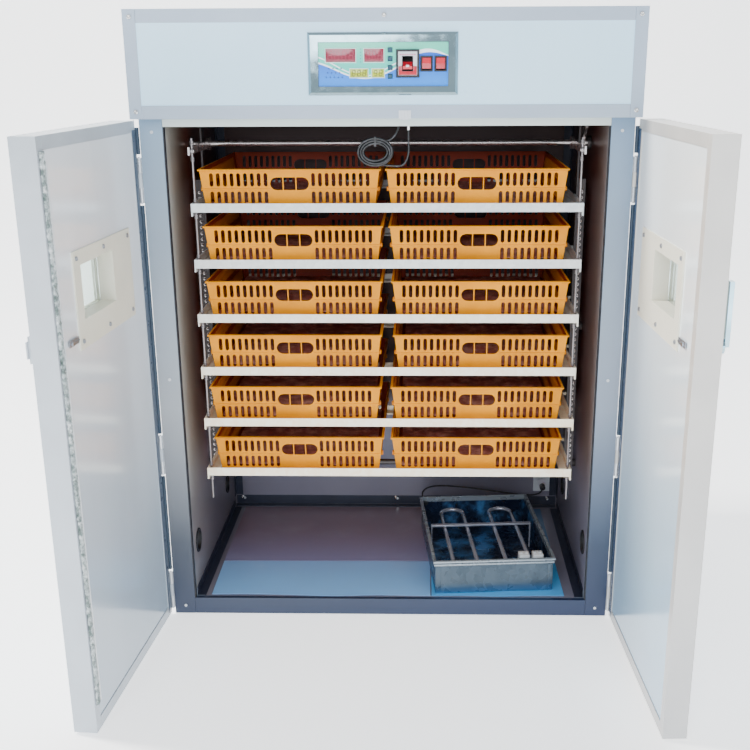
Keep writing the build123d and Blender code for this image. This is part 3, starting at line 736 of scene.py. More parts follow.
def makeRack(zinc, dark):
    sizes, posts, eyelets = rackSizes, [], []
    near, low, top = sizes["post"], sizes["low"], sizes["flangeTop"]
    far = near + sizes["thick"]
    for side in (-1, 1):
        x0, x1 = sorted((side * near, side * far))
        post = addBlock("post", (x0, sizes["front"], low), (x1, sizes["back"], sizes["high"]))
        start, end, rear = sizes["flange"]
        x0, x1 = sorted((side * (near + start), side * (near + end)))
        flange = addBlock("flange", (x0, sizes["front"], low), (x1, rear, top))
        hole = addRod("hole", "X", (side * 0.418, -0.031, 0), 0.0028, 0.02, 12)
        spots = [low + 0.02 + k * sizes["holePitch"] for k in range(sizes["holes"])]
        cutAway(post, joined("holes", [copyOf(hole, "hole", Matrix.Translation((0, 0, z)))
                                       for z in spots]))
        remove(hole)
        useModifier(post, "BEVEL", width=0.0004, segments=1, limit_method="ANGLE", angle_limit=1.2)
        posts += [post, flange]
        for z in sizes["spacers"]:
            middle = (side * (far + sizes["inner"]) / 2, pivotY, z)
            posts.append(addRod("spacer", "X", middle, 0.009, sizes["inner"] - far, 24, 0.0006))
        posts.append(addRod("boss", "X", (side * 0.441, pivotY, shaftHeight), 0.014, 0.008, 28,
                            0.0008))
        for z in (*shelfPivots, shaftHeight):
            posts.append(addRod("bush", "X", (side * 0.4212, pivotY, z), 0.0085, 0.0024, 24,
                                0.0005))
        # bright eyelets down the front flange
        x, radius, thick = sizes["eyelet"]
        ring = addTorus((side * x, -0.0556, 0), radius, thick, 10, 5, (math.pi / 2, 0, 0))
        pitch = sizes["eyeletPitch"]
        eyelets += [copyOf(ring, "eyelet", Matrix.Translation((0, 0, low + 0.012 + k * pitch)))
                    for k in range(int((top - low - 0.02) / pitch))]
        remove(ring)
    posts.append(addRod("tieRod", "X", (0, pivotY, sizes["tieHeight"]), 0.007, 2 * near, 28, 0.001))
    finish(joined("rackPosts", posts), "cabinet", dark, "rack_steel", "rack_frame")
    finish(joined("rackEyelets", eyelets), "cabinet", zinc, "rack_steel")


linkSizes = {"x": 0.3965, "y": -0.264, "radius": 0.0025, "low": 0.277, "high": 1.061,
             "eye": (0.0062, 0.0050), "pinHole": 0.00256, "nut": (0.0042, 0.0036),
             "nutLifts": (-0.014, 0.014, -0.0185, 0.0185)}


def makeLinks(zinc):
    sizes, parts = linkSizes, []
    middle, length = (sizes["low"] + sizes["high"]) / 2, sizes["high"] - sizes["low"]
    for side in (-1, 1):
        x, y = side * sizes["x"], sizes["y"]
        parts.append(addRod("rod", "Z", (x, y, middle), sizes["radius"], length, 16, 0.0006))
        for z in (shaftHeight, *shelfPivots):
            eye = addRod("eye", "X", (x, y, z), *sizes["eye"], 24, 0.0007)
            cutAway(eye, addRod("pinHole", "X", (x, y, z), sizes["pinHole"], 0.02, 20))
            parts.append(eye)
            for lift in sizes["nutLifts"]:
                parts.append(addRod("nut", "Z", (x, y, z + lift), *sizes["nut"], 6, 0.0004))
    finish(joined("turningLinks", parts), "links", zinc, "rack_steel", "turning_links")


zincPlate = brushedMetal("zincPlate", (0.70, 0.64, 0.62), 0.28, 0.9, "X")
postSteel = brushedMetal("postSteel", (0.085, 0.075, 0.075), 0.38, 0.55, "Z")
makeRack(zincPlate, postSteel)
linkZinc = brushedMetal("linkZinc", (0.30, 0.27, 0.27), 0.30, 0.85, "Z")
makeLinks(linkZinc)
print("turning rack is made")


# control panel face, its displays, lamps, breaker body and rocker frames

panelSizes = {
    "face": (-0.1267, 0.1222, 1.1618, 1.2422),
    "displays": {"redLong": (-0.113, -0.055, 1.206, 1.2307, 4),
                 "redShort": (-0.039, -0.001, 1.206, 1.2307, 3),
                 "greenLong": (-0.0665, -0.0317, 1.178, 1.194, 3),
                 "greenShort": (-0.0242, -0.0003, 1.178, 1.194, 2)},
    "keys": (0.011, 0.0046), "keyHeights": (1.228, 1.212, 1.196, 1.180),
    "lampRows": ((4, 1.1946, -0.1065), (4, 1.1868, -0.1095), (5, 1.1785, -0.1120)),
    "lampPitch": 0.0077, "lampColumn": (-0.0455, 1.2065, 0.0058),
    "breaker": (0.0223, 0.067, 1.1775, 1.229), "lever": (0.034, 0.055, 1.189, 1.217),
    "rockers": (0.0807, 0.1077), "rockerZ": 1.2027,
    "rockerOuter": (0.012, 0.0143), "rockerInner": (0.0088, 0.0113),
}


def ringOf(name, outer, inner, y0, y1, bevel):
    # a rectangular frame in X and Z: outer and inner are (x0, x1, z0, z1)
    edging = addBlock(name, (outer[0], y0, outer[2]), (outer[1], y1, outer[3]))
    cutAway(edging, addBlock("opening", (inner[0], y0 - 0.02, inner[2]),
                             (inner[1], y1 + 0.02, inner[3])))
    softEdge(edging, bevel)
    return edging


def grown(box, by):
    return (box[0] - by, box[1] + by, box[2] - by, box[3] + by)


def boxRound(x, z, halfX, halfZ):
    return (x - halfX, x + halfX, z - halfZ, z + halfZ)


def slab(name, box, front, back, bevel=0.0):
    # a block over an (x0, x1, z0, z1) box, its front and back counted from the header's face
    return addBlock(name, (box[0], headerFace + front, box[2]),
                    (box[1], headerFace + back, box[3]), bevel)


def addDigit(x, z, width, height, lit, y):
    # seven flat bars of one display digit; lit holds the bars that glow: a b c d e f g
    bar, parts = width * 0.17, []
    spans = {"a": (0.5, 1.0, True), "b": (1.0, 0.75, False), "c": (1.0, 0.25, False),
             "d": (0.5, 0.0, True),
             "e": (0.0, 0.25, False), "f": (0.0, 0.75, False), "g": (0.5, 0.5, True)}
    for key, (across, up, flat) in spans.items():
        if key not in lit:
            continue
        cx, cz = x + (across - 0.5) * (width - bar), z + (up - 0.5) * (height - bar)
        half = (width / 2 - bar * 0.75, bar / 2) if flat else (bar / 2, height / 4 - bar * 0.75)
        lean = 0.10 * (cz - z)
        parts.append(addBlock("bar", (cx - half[0] + lean, y - 0.0004, cz - half[1]),
                              (cx + half[0] + lean, y + 0.0004, cz + half[1])))
    return parts


def makeFascia():
    made = Finish("controlFascia", roughness=0.16, Coat_Weight=0.6, Coat_Roughness=0.05)
    left, right, low, high = panelSizes["face"]
    across = (made.x - left) / (right - left)
    up = (made.z - low) / (high - low)
    border = made.ramp(across, [(0.0, 0.56), (0.124, 0.388), (0.244, 0.222), (0.34, 0.175),
                                (0.45, 0.195),
                                (0.592, 0.40), (0.70, 0.66), (0.772, 0.775), (0.852, 0.82),
                                (0.93, 0.775),
                                (1.0, 0.68)], "B_SPLINE")
    gap = made.ramp(across, [(0.0, 0.135), (0.124, 0.095), (0.244, 0.068), (0.43, 0.05),
                             (0.52, 0.10),
                             (0.592, 0.115), (0.70, 0.06), (0.772, 0.02), (1.0, 0.0)], "B_SPLINE")
    thick = made.ramp(across, [(0.0, 0.020), (0.25, 0.017), (0.45, 0.012), (0.60, 0.022),
                               (0.74, 0.030),
                               (0.83, 0.040), (0.93, 0.026), (1.0, 0.006)], "B_SPLINE")
    blue = made.blend((0.002, 0.115, 0.66), (0.003, 0.26, 0.93), 1 - up.band(0.0, 0.75))
    teal = made.blend((0.055, 0.62, 0.50), (0.10, 0.66, 0.46), up.band(0.4, 1.0))
    over = up - border
    tone = made.blend(blue, teal, over.band(-0.006, 0.006))
    lineOne = 1 - (over.size() - thick).band(-0.004, 0.006)
    lineTwo = 1 - ((over - gap).size() - thick * 0.8).band(-0.004, 0.006)
    tone = made.blend(tone, (0.90, 0.97, 1.0), lineOne.maths("MAXIMUM", lineTwo))
    return made.done(tone, made.noise(260, 3), 0.04, 0.0003)


def glowing(name, colour, glow, strength, roughness=0.2):
    made = Finish(name, roughness=roughness, Coat_Weight=0.8, Coat_Roughness=0.04,
                  Emission_Strength=strength)
    made.feed("Base Color", made.blend(colour, tuple(0.7 * c for c in colour),
                                       made.noise(220, 2).band(0.4, 0.7)))
    made.feed("Emission Color", made.blend(glow, tuple(0.8 * c for c in glow),
                                           made.noise(90, 2).band(0.4, 0.7)))
    return made.material


def makeControlFace():
    sizes, y = panelSizes, headerFace
    keyX, keyHalf = sizes["keys"]
    rockerBoxes = [boxRound(x, sizes["rockerZ"], *sizes["rockerOuter"]) for x in sizes["rockers"]]
    plate = slab("controlPlate", sizes["face"], -0.002, 0.001)
    openings = [*sizes["displays"].values(),
                *[boxRound(keyX, z, keyHalf, keyHalf) for z in sizes["keyHeights"]],
                sizes["breaker"], *rockerBoxes]
    cutAway(plate, joined("openings", [slab("opening", box, -0.01, 0.01) for box in openings]))
    finish(plate, "cabinet", makeFascia(), "control_fascia", "control_face")

    rims, lamps = [], []
    fields = {"red": [], "green": []}
    digits = {"red": [], "green": []}
    allBars = "abcdefg"
    shown = {"redLong": (allBars,) * 4, "redShort": (allBars,) * 3,
             "greenLong": (allBars,) * 3, "greenShort": ("abcdfg", allBars)}
    for name, (*box, count) in sizes["displays"].items():
        kind = "red" if name.startswith("red") else "green"
        x0, x1, z0, z1 = box
        rims.append(ringOf("rim", grown(box, 0.0012), grown(box, -0.0004),
                           y - 0.0030, y - 0.0002, 0.0004))
        fields[kind].append(slab("field", box, -0.0012, 0.001, 0.0002))
        pitch = (x1 - x0 - 0.004) / count
        for k, lit in enumerate(shown[name]):
            digits[kind] += addDigit(x0 + 0.002 + pitch * (k + 0.5), (z0 + z1) / 2, pitch * 0.66,
                                     (z1 - z0) * 0.72, lit, y - 0.0014)
    for count, z, first in sizes["lampRows"]:
        lamps += [addRod("lamp", "Y", (first + sizes["lampPitch"] * k, y - 0.0026, z),
                         0.0013, 0.0016, 12, 0.0004) for k in range(count)]
    x, first, pitch = sizes["lampColumn"]
    lamps += [addRod("lamp", "Y", (x, y - 0.0024, first + pitch * k), 0.0008, 0.0012, 10, 0.0003)
              for k in range(5)]
    for name, parts, material in (
            ("displayRims", rims, moulded("rimPlastic", (0.62, 0.80, 0.74), 0.3)),
            ("redFields", fields["red"],
             glowing("redDisplay", (0.24, 0.008, 0.035), (0.55, 0.01, 0.06), 0.10)),
            ("redDigits", digits["red"],
             glowing("redSegments", (0.33, 0.012, 0.05), (0.8, 0.02, 0.08), 0.14)),
            ("greenFields", fields["green"],
             glowing("greenDisplay", (0.46, 0.52, 0.012), (0.8, 0.85, 0.02), 0.12)),
            ("greenDigits", digits["green"],
             glowing("greenSegments", (0.10, 0.13, 0.008), (0.2, 0.25, 0.01), 0.02)),
            ("indicatorLamps", lamps, moulded("lampBlue", (0.004, 0.05, 0.30), 0.2))):
        finish(joined(name, parts), "cabinet", material, "control_fascia")

    box, lever = sizes["breaker"], sizes["lever"]
    inner, (x0, x1, z0, z1) = grown(box, -0.0042), grown(box, -0.001)
    frames = [ringOf("breakerBorder", box, inner, y - 0.006, y + 0.004, 0.0007),
              slab("cheek", (x0, x1, z0, lever[2]), 0.003, 0.030),
              slab("cheek", (x0, x1, lever[3], z1), 0.003, 0.030)]
    frames += [ringOf("rockerFrame", outer, boxRound(x, sizes["rockerZ"], *sizes["rockerInner"]),
                      y - 0.004, y + 0.012, 0.0006)
               for x, outer in zip(sizes["rockers"], rockerBoxes)]
    finish(joined("switchFrames", frames), "cabinet",
           moulded("switchBlack", (0.008, 0.008, 0.012), 0.28), "control_fascia")
    body = ringOf("breakerBody", grown(inner, 0.0003), lever, y - 0.0052, y + 0.003, 0.0005)
    x0, x1, z0, _ = grown(inner, -0.0006)
    apron = slab("redApron", (x0, x1, z0, 1.1985), -0.0060, -0.0045, 0.0004)
    x0, x1, z0, _ = grown(lever, 0.0002)
    cutAway(apron, slab("gap", (x0, x1, z0, lever[3]), -0.01, 0.01))
    finish(apron, "cabinet", moulded("apronRed", (0.50, 0.010, 0.028), 0.25), "switch_red")
    starts = [inner[0] + 0.003 + 0.0045 * k for k in range(7)]
    dashes = [slab("dash", (x, x + 0.0032, 1.2185, 1.2202), -0.0056, -0.0050) for x in starts]
    finish(joined("breakerDashes", dashes), "cabinet",
           moulded("dashPink", (0.62, 0.12, 0.26), 0.4), "control_fascia")
    finish(body, "cabinet", moulded("breakerGrey", (0.66, 0.66, 0.70), 0.35), "control_fascia")
    # the plain white bar on the lever's grip
    grip = addBlock("leverMark", (0.0415, -0.0030, -0.0012), (0.0475, 0.0018, 0.0012), 0.0004)
    turn = Matrix.Rotation(math.radians(24), 4, "X")
    grip.data.transform(Matrix.Translation((0, y + 0.004, 1.203)) @ turn
                        @ Matrix.Translation((0, -0.0164, 0.0031)))
    finish(grip, "breaker", moulded("markWhite", (0.85, 0.82, 0.84), 0.4), "switch_red")


makeControlFace()
print("control panel is made")


# doors: pile seal, gaskets darkened with painted shade, screws and bolts


def doorMatrix(side):
    # local X runs from the pin to the free edge, Y across the door to the inside, Z up
    sign, angle = doorSizes[side][0], math.radians(doorSizes[side][1])
    along = Vector((-sign * math.cos(angle), -math.sin(angle), 0))
    out = Vector((sign * math.sin(angle), -math.cos(angle), 0))
    made = Matrix.Identity(4)
    for row in range(3):
        made[row][0], made[row][1] = along[row], -out[row]
    made.translation = (sign * doorSizes["pin"], frameFront, 0)
    return made


def onDoor(piece, side):
    # a piece made in the door's own axes is put in place, its faces still pointing outwards
    matrix = doorMatrix(side)
    piece.data.transform(matrix)
    if matrix.determinant() < 0:
        piece.data.flip_normals()
    return piece


def addScrewHead(radius=0.0042, rise=0.0022):
    # a domed head with a recess, its face towards -Y and its back on the plane Y = 0
    head = addRod("head", "Y", (0, -rise / 2, 0), radius, rise, 20)
    pick(head)
    bpy.ops.object.mode_set(mode="EDIT")
    mesh = bmesh.from_edit_mesh(head.data)
    for face in mesh.faces:
        face.select_set(face.normal.y < -0.9)
    bmesh.update_edit_mesh(head.data)
    bpy.ops.mesh.inset(thickness=radius * 0.30)
    bpy.ops.transform.translate(value=(0, -rise * 0.35, 0))
    bpy.ops.mesh.inset(thickness=radius * 0.38)
    bpy.ops.transform.translate(value=(0, rise * 0.55, 0))
    bpy.ops.object.mode_set(mode="OBJECT")
    smoothByAngle(head, 40)
    return head


sealSizes = {"width": 0.016, "length": 1.012, "across": 0.484, "up": 0.568, "base": -0.0012,
             "rise": 0.0034, "cells": (10, 620), "tuft": 0.0036, "thick": 0.0010}


def makeSeal():
    # a strip of pile down the left door's meeting edge: a ragged half-round ridge
    sizes = sealSizes
    deselectAll()
    bpy.ops.mesh.primitive_grid_add(x_subdivisions=sizes["cells"][0],
                                    y_subdivisions=sizes["cells"][1], size=1, location=(0, 0, 0))
    seal = bpy.context.object
    seal.name = "leftDoorPile"
    seal.scale = (sizes["width"], sizes["length"], 1)
    settle(seal)
    seal.data.transform(Matrix.Translation((sizes["across"], 0, sizes["up"]))
                        @ Matrix.Rotation(math.pi / 2, 4, "X"))
    for vert in seal.data.vertices:
        part = (vert.co.x - sizes["across"]) / (sizes["width"] / 2)
        vert.co.y = sizes["base"] + sizes["rise"] * math.sqrt(max(0.0, 1 - part * part))
    tufts = bpy.data.textures.new("tufts", "CLOUDS")
    tufts.noise_scale, tufts.noise_depth = 0.0045, 2
    useModifier(seal, "DISPLACE", texture=tufts, strength=sizes["tuft"], mid_level=0.6,
                texture_coords="LOCAL", direction="Y")
    useModifier(seal, "SOLIDIFY", thickness=sizes["thick"], offset=-1)
    outwards(seal)
    onDoor(seal, "left")
    outwards(seal, weld=False)
    made = Finish("sealPile", roughness=0.85, Sheen_Weight=0.4, Sheen_Roughness=0.5)
    tone = made.ramp(made.noise(75, 4, 0.7), [
        (0.30, (0.045, 0.075, 0.065)), (0.44, (0.16, 0.21, 0.20)),
        (0.54, (0.42, 0.47, 0.47)), (0.70, (0.78, 0.80, 0.80))])
    finish(seal, "left_door", made.done(tone, made.noise(1100, 3, 0.7), 0.7, 0.0012),
           "seal_fleece", "left_door_seal")


doorDetails = {
    "strip": ((0.0065, -0.0019, 0.012), (0.0265, -0.0011, 1.080)),
    "lip": ((0.0120, -0.0014, 0.546), 0.0008, 1.060), "screwBack": -0.0008,
    "boltPlate": ((0.404, -0.0016, 0.741), (0.448, 0.0004, 0.753)),
    "boltPin": ((0.424, 0.0006, 0.747), 0.0022, 0.034),
    "boltKnob": ((0.438, 0.0016, 0.747), 0.0048, 0.004),
    "flange": ((0.4705, -0.0021, 0.062), (0.4755, 0.0013, 1.074)),
}


def makeDoorDetails():
    # the dark strip with a lip near each door's hinge edge is a gasket; its navy and slate colours
    # are painted shade of the trim band it lies on
    navy = moulded("gasketShadeNavy", (0.012, 0.035, 0.085), 0.22, Coat_Weight=0.5)
    slate = moulded("gasketShadeSlate", (0.060, 0.085, 0.125), 0.3, Coat_Weight=0.3)
    white = moulded("flangeWhite", (0.78, 0.80, 0.82), 0.35)
    head, sizes, about = addScrewHead(), doorDetails, Matrix.Rotation(math.pi, 4, "Z")
    for side, gasketShade in (("left", slate), ("right", navy)):
        body = f"{side}_door"
        gasket = joined(f"{side}DoorGasketShade", [addBlock("strip", *sizes["strip"], 0.0003),
                                              addRod("lip", "Z", *sizes["lip"], 12)])
        finish(onDoor(gasket, side), body, gasketShade, "window_cream")
        parts = [copyOf(head, "screw", Matrix.Translation((u, sizes["screwBack"], v)) @ about)
                 for u in doorSizes["screwU"] for v in doorSizes["screwV"]]
        # a sliding bolt near the window
        parts += [addBlock("boltPlate", *sizes["boltPlate"], 0.0006),
                  addRod("boltPin", "X", *sizes["boltPin"], 14, 0.0005),
                  addRod("boltKnob", "Y", *sizes["boltKnob"], 18, 0.001)]
        finish(onDoor(joined(f"{side}DoorScrews", parts), side), body, steelDull, "steel_fittings")
    remove(head)
    flange = addBlock("sealFlange", *sizes["flange"], 0.0004)
    finish(onDoor(flange, "left"), "left_door", white, "aluminium_trim")


steelDull = brushedMetal("steelDull", (0.36, 0.38, 0.42), 0.35, 0.9, "Z")
makeSeal()
makeDoorDetails()
print("door details are made")


# chamber floor sheets, small cabinet fittings, the pan and its heaters

linerSizes = {"thick": 0.0011, "top": 0.0384}


def linerSheet(name, corners, wave, colour, shade):
    # a thin plastic sheet cut to four corners, with one wavy edge at its front
    deselectAll()
    bpy.ops.mesh.primitive_grid_add(x_subdivisions=60, y_subdivisions=40, size=2,
                                    location=(0, 0, 0))
    sheet = bpy.context.object
    (fx0, fy0), (fx1, fy1), (bx1, by1), (bx0, by0) = corners
    for vert in sheet.data.vertices:
        s, t = (vert.co.x + 1) / 2, (vert.co.y + 1) / 2
        front = (fx0 + (fx1 - fx0) * s, fy0 + (fy1 - fy0) * s + wave * math.sin(9 * s)
                 * math.sin(math.pi * s))
        rear = (bx0 + (bx1 - bx0) * s, by0 + (by1 - by0) * s)
        vert.co.x = front[0] + (rear[0] - front[0]) * t
        vert.co.y = front[1] + (rear[1] - front[1]) * t
        vert.co.z = linerSizes["top"] + 0.0003 * math.sin(40 * vert.co.x) * math.sin(31 * vert.co.y)
    useModifier(sheet, "SOLIDIFY", thickness=linerSizes["thick"], offset=1)
    outwards(sheet)
    smoothByAngle(sheet, 40)
    made = Finish(name, roughness=0.30, Coat_Weight=0.2)
    # darker towards the back of the chamber: painted shade
    depth = made.y.band(-0.26, 0.16)
    cloud = made.noise(6, 3, 0.6)
    tone = made.blend(made.blend(colour, shade, depth), (0.70, 0.76, 0.90),
                      cloud.band(0.5, 0.8) * 0.08)
    made.feed("Base Color", tone)
    made.grain(0.34, cloud, 0.04)
    made.bump(made.noise(5, 1, 0.3), 0.05, 0.001)
    finish(sheet, "cabinet", made.material, "panel_skin")
    sheet.name = name


def makeLiners():
    linerSheet("rearFloorSheet", ((-0.414, -0.090), (0.092, -0.085), (0.092, 0.262),
                                  (-0.414, 0.262)), 0.0,
               (0.26, 0.27, 0.50), (0.20, 0.130, 0.17))
    linerSheet("frontFloorSheet", ((-0.412, -0.272), (0.094, -0.274), (0.094, -0.088),
                                   (-0.414, -0.092)), 0.004,
               (0.24, 0.50, 0.86), (0.30, 0.34, 0.62))
    linerSheet("sideFloorSheet", ((0.097, -0.274), (0.402, -0.270), (0.398, 0.255), (0.097, 0.255)),
               0.003,
               (0.08, 0.40, 0.78), (0.05, 0.16, 0.34))


fittingSizes = {
    "screws": ((-0.486, 1.116), (0.486, 1.116), (-0.486, 1.290), (0.486, 1.290), (0.0, 1.291)),
    "rivets": ((-0.4254, 0.0600), (0.0, 0.0600), (0.418, 0.0600)), "rivetWall": 0.2885,
    "headBack": 0.0012,
    "seam": (0.4452, 0.4478, -0.2917, -0.2790, 0.0402, 1.0838),
    "cover": (0.500, 0.0043), "coverSpans": ((0.112, 0.338), (0.438, 0.930), (1.032, 1.084)),
    "plate": ((0.394, 0.2845, 0.084), (0.424, 0.2872, 0.128)), "plateScrews": (0.092, 0.120),
    "inlets": ((-0.230, 0.157, 0.024), (0.165, 0.144, 0.020)), "inletX": 0.444,
}


def makeFittings():
    sizes, head, both = fittingSizes, addScrewHead(), (-1, 1)
    black = "cable_black"
    for name, part, wall, spots in (("headerScrews", "head", headerFace, sizes["screws"]),
                                    ("chamberRivets", "rivet", sizes["rivetWall"],
                                     sizes["rivets"])):
        heads = [copyOf(head, part, Matrix.Translation((x, wall - sizes["headBack"], z)))
                 for x, z in spots]
        finish(joined(name, heads), "cabinet", steelBright, "steel_fittings")
    remove(head)
    near, far, y0, y1, z0, z1 = sizes["seam"]
    seams = [addBlock("seam", (min(side * near, side * far), y0, z0),
                      (max(side * near, side * far), y1, z1)) for side in both]
    finish(joined("openingSeams", seams), "cabinet",
           moulded("seamBlack", (0.004, 0.005, 0.010), 0.4), black)
    # dark strips that fill the gap along each door's hinge line, between the barrels
    x, radius = sizes["cover"]
    covers = [addRod("cover", "Z", (side * x, frameFront, (low + high) / 2), radius, high - low,
                     20, 0.0006) for side in both for low, high in sizes["coverSpans"]]
    finish(joined("hingeCovers", covers), "cabinet",
           moulded("coverNavy", (0.014, 0.034, 0.062), 0.4), black)
    # blanking plate at the chamber's rear right corner, with two screws
    plate = addBlock("plate", *sizes["plate"], 0.0010)
    screws = [addRod("screw", "Y", (0.409, 0.2840, z), 0.0030, 0.0016, 14, 0.0005)
              for z in sizes["plateScrews"]]
    finish(joined("blankingPlate", [plate, *screws]), "cabinet",
           moulded("plateWhite", (0.62, 0.62, 0.70), 0.4), "window_cream")
    # plastic bushes inside the air inlets
    for name, side in (("left", -1), ("right", 1)):
        rings = []
        for y, z, radius in sizes["inlets"]:
            middle = (side * sizes["inletX"], y, z)
            ring = addRod("ring", "X", middle, radius + 0.004, 0.004, 40)
            cutAway(ring, addRod("bore", "X", middle, radius - 0.0015, 0.02, 40))
            softEdge(ring, 0.0008)
            middle = (side * (sizes["inletX"] + 0.021), y, z)
            sleeve = addRod("sleeve", "X", middle, radius - 0.0004, 0.042, 40)
            cutAway(sleeve, addRod("bore", "X", middle, radius - 0.0015, 0.08, 40))
            rings += [ring, sleeve]
        finish(joined(f"{name}InletBushes", rings), "cabinet",
               moulded(f"{name}BushBlack", (0.006, 0.006, 0.008), 0.5), black)


panSizes = {"middle": (0.225, -0.055, 0.040), "turn": 4.8, "half": (0.136, 0.1975),
            "height": 0.082, "wall": 0.0015}


def inPan(piece):
    piece.data.transform(Matrix.Translation(panSizes["middle"])
                         @ Matrix.Rotation(math.radians(panSizes["turn"]), 4, "Z"))
    return piece


def foldedRim(out, z, thick):
    # one rounded bead of folded sheet round the pan's mouth
    halfX, halfY = panSizes["half"]
    mouthX, mouthY = (half - panSizes["wall"] for half in panSizes["half"])
    deselectAll()
    bpy.ops.mesh.primitive_cube_add(size=1, location=(0, 0, z))
    bead = bpy.context.object
    bead.scale = (2 * (halfX + out), 2 * (halfY + out), thick)
    settle(bead)
    cutAway(bead, addBlock("mouth", (-mouthX, -mouthY, z - 0.05), (mouthX, mouthY, z + 0.05)))
    softEdge(bead, thick * 0.38, 3)
    smoothByAngle(bead, 50)
    return bead


def makePanMetal():
    # dull grey outside and bluer at its foot, a painted reflection of the blue floor sheets; the
    # inside is darker and bluer, painted shade
    made = Finish("panGalvanised", roughness=0.3, metallic=0.5)
    crystal = made.node("ShaderNodeSeparateColor", None, {0: made.cells(70)})
    cloud = made.noise(14, 4, 0.6)
    outer = made.blend((0.045, 0.070, 0.095), (0.085, 0.12, 0.155),
                       crystal * 0.4 + cloud.band(0.3, 0.7) * 0.6)
    # bluer towards the foot: painted reflection of the blue floor sheets
    outer = made.blend((0.04, 0.13, 0.25), outer, made.z.band(0.040, 0.066))
    # the inside is darker: painted shade
    inner = made.blend((0.006, 0.012, 0.036), (0.07, 0.22, 0.46), cloud.band(0.46, 0.68))
    turn = made.node("ShaderNodeMapping", {"vector_type": "TEXTURE"},
                     {"Vector": made.where, "Location": panSizes["middle"],
                      "Rotation": (0, 0, math.radians(panSizes["turn"]))})
    apart = made.node("ShaderNodeSeparateXYZ", None, {0: turn})
    across, along = apart, Wire(made, apart.socket.node.outputs[1])
    halfX, halfY = (half - 0.0008 for half in panSizes["half"])
    within = (across.size() < halfX) * (along.size() < halfY)
    rim = made.z.band(0.1085, 0.1105)
    tone = made.blend(outer, inner, within)
    tone = made.blend(tone, (0.30, 0.34, 0.37), rim)
    made.feed("Roughness", 0.30 + (crystal - 0.5) * 0.12 + (cloud - 0.5) * 0.12)
    return made.done(tone, cloud, 0.10, 0.0004)


def makePan():
    (halfX, halfY), height, wall = panSizes["half"], panSizes["height"], panSizes["wall"]
    shell = addBlock("shell", (-halfX, -halfY, 0.0), (halfX, halfY, height))
    cutAway(shell, addBlock("hollow", (-halfX + wall, -halfY + wall, wall),
                            (halfX - wall, halfY - wall, 0.2)))
    softEdge(shell, 0.0004)
    rims = [foldedRim(0.0060, height - 0.0028, 0.0056), foldedRim(0.0042, height - 0.0105, 0.0062)]
    # folded laps at the pan's two front corners
    laps = [addBlock("lap", (x0, -halfY - 0.0012, 0.004),
                     (x1, -halfY + 0.0012, height - 0.015), 0.0005)
            for x0, x1 in ((-halfX - 0.0005, -halfX + 0.0125), (halfX - 0.0125, halfX + 0.0005))]
    finish(inPan(joined("waterPan", [shell, *rims, *laps])), "pan", makePanMetal(),
           "pan_galvanised", "water_pan")


heaterSizes = {
    "middles": (-0.062, 0.062), "ends": (0.030, 0.060), "height": 0.058, "run": 0.028,
    "radius": 0.0050, "bar": (0.038, 0.050, 0.064, 0.069), "terminals": (0.060, 0.092),
}


def makeHeaters():
    (halfX, halfY), sizes, both, parts = panSizes["half"], heaterSizes, (-1, 1), []
    near, far = -halfY + sizes["ends"][0], halfY - sizes["ends"][1]
    z, run, radius = sizes["height"], sizes["run"], sizes["radius"]
    for middle in sizes["middles"]:
        parts += [addRod("run", "Y", (middle + side * run, (near + far) / 2, z), radius,
                         far - near, 20, 0.0008) for side in both]
        loop = addTorus((middle, far, z), run, radius, 56, 20)
        cutAway(loop, addBlock("front", (middle - 0.1, far - 0.1, z - 0.1),
                               (middle + 0.1, far, z + 0.1)))
        smoothByAngle(loop, 40)
        parts.append(loop)
        parts += [addRod("nut", "Y", (middle + side * run, near + 0.004, z), 0.0085, 0.008,
                         6, 0.0008) for side in both]
    y0, y1, z0, z1 = sizes["bar"]
    parts.append(addBlock("crossBar", (-halfX + 0.012, y0, z0), (halfX - 0.012, y1, z1), 0.001))
    for side in both:
        x0, x1 = sorted((side * (halfX - 0.014), side * (halfX - 0.011)))
        parts.append(addBlock("leg", (x0, y0, 0.002), (x1, y1, z1), 0.0006))
    parts.append(addBlock("strip", (-halfX + 0.014, -halfY + 0.014, 0.052),
                          (halfX - 0.012, -halfY + 0.030, 0.066), 0.0008))
    tube = brushedMetal("heaterTube", (0.42, 0.44, 0.52), 0.24, 0.55, "Y")
    finish(inPan(joined("panHeaters", parts)), "pan", tube, "heater_steel", "pan_heaters")
    blocks = []
    for x in sizes["terminals"]:
        blocks.append(addBlock("terminal", (x, -halfY + 0.012, 0.0664),
                               (x + 0.024, -halfY + 0.038, 0.084), 0.0018))
        blocks += [addRod("stud", "Z", (x + 0.006 + 0.012 * k, -halfY + 0.025, 0.0845), 0.0028,
                          0.003, 14, 0.0006) for k in range(2)]
    finish(inPan(joined("heaterTerminals", blocks)), "pan",
           moulded("terminalCeramic", (0.66, 0.66, 0.66), 0.5), "heater_steel")
    # the gland where the lead leaves the pan at the back
    gland = addRod("panLeadGland", "Y", (-0.126, halfY + 0.003, 0.066), 0.007, 0.010, 24, 0.0012)
    finish(inPan(gland), "pan", rubber, "cable_black")


makeLiners()
makeFittings()
makePan()
makeHeaters()
print("floor, fittings and pan are made")


# finishes for the CAD parts that keep their shape


def dress(material, *names, bevel=0.0):
    for name in names:
        part = nodes[name]
        part.data.materials.clear()
        part.data.materials.append(material)
        if bevel:
            weld = part.modifiers.new("weld", "WELD")
            weld.merge_threshold = weldGap
            edge = part.modifiers.new("edge", "BEVEL")
            edge.width, edge.segments = bevel, 2
            edge.limit_method, edge.angle_limit = "ANGLE", math.radians(50)
            edge.harden_normals = False


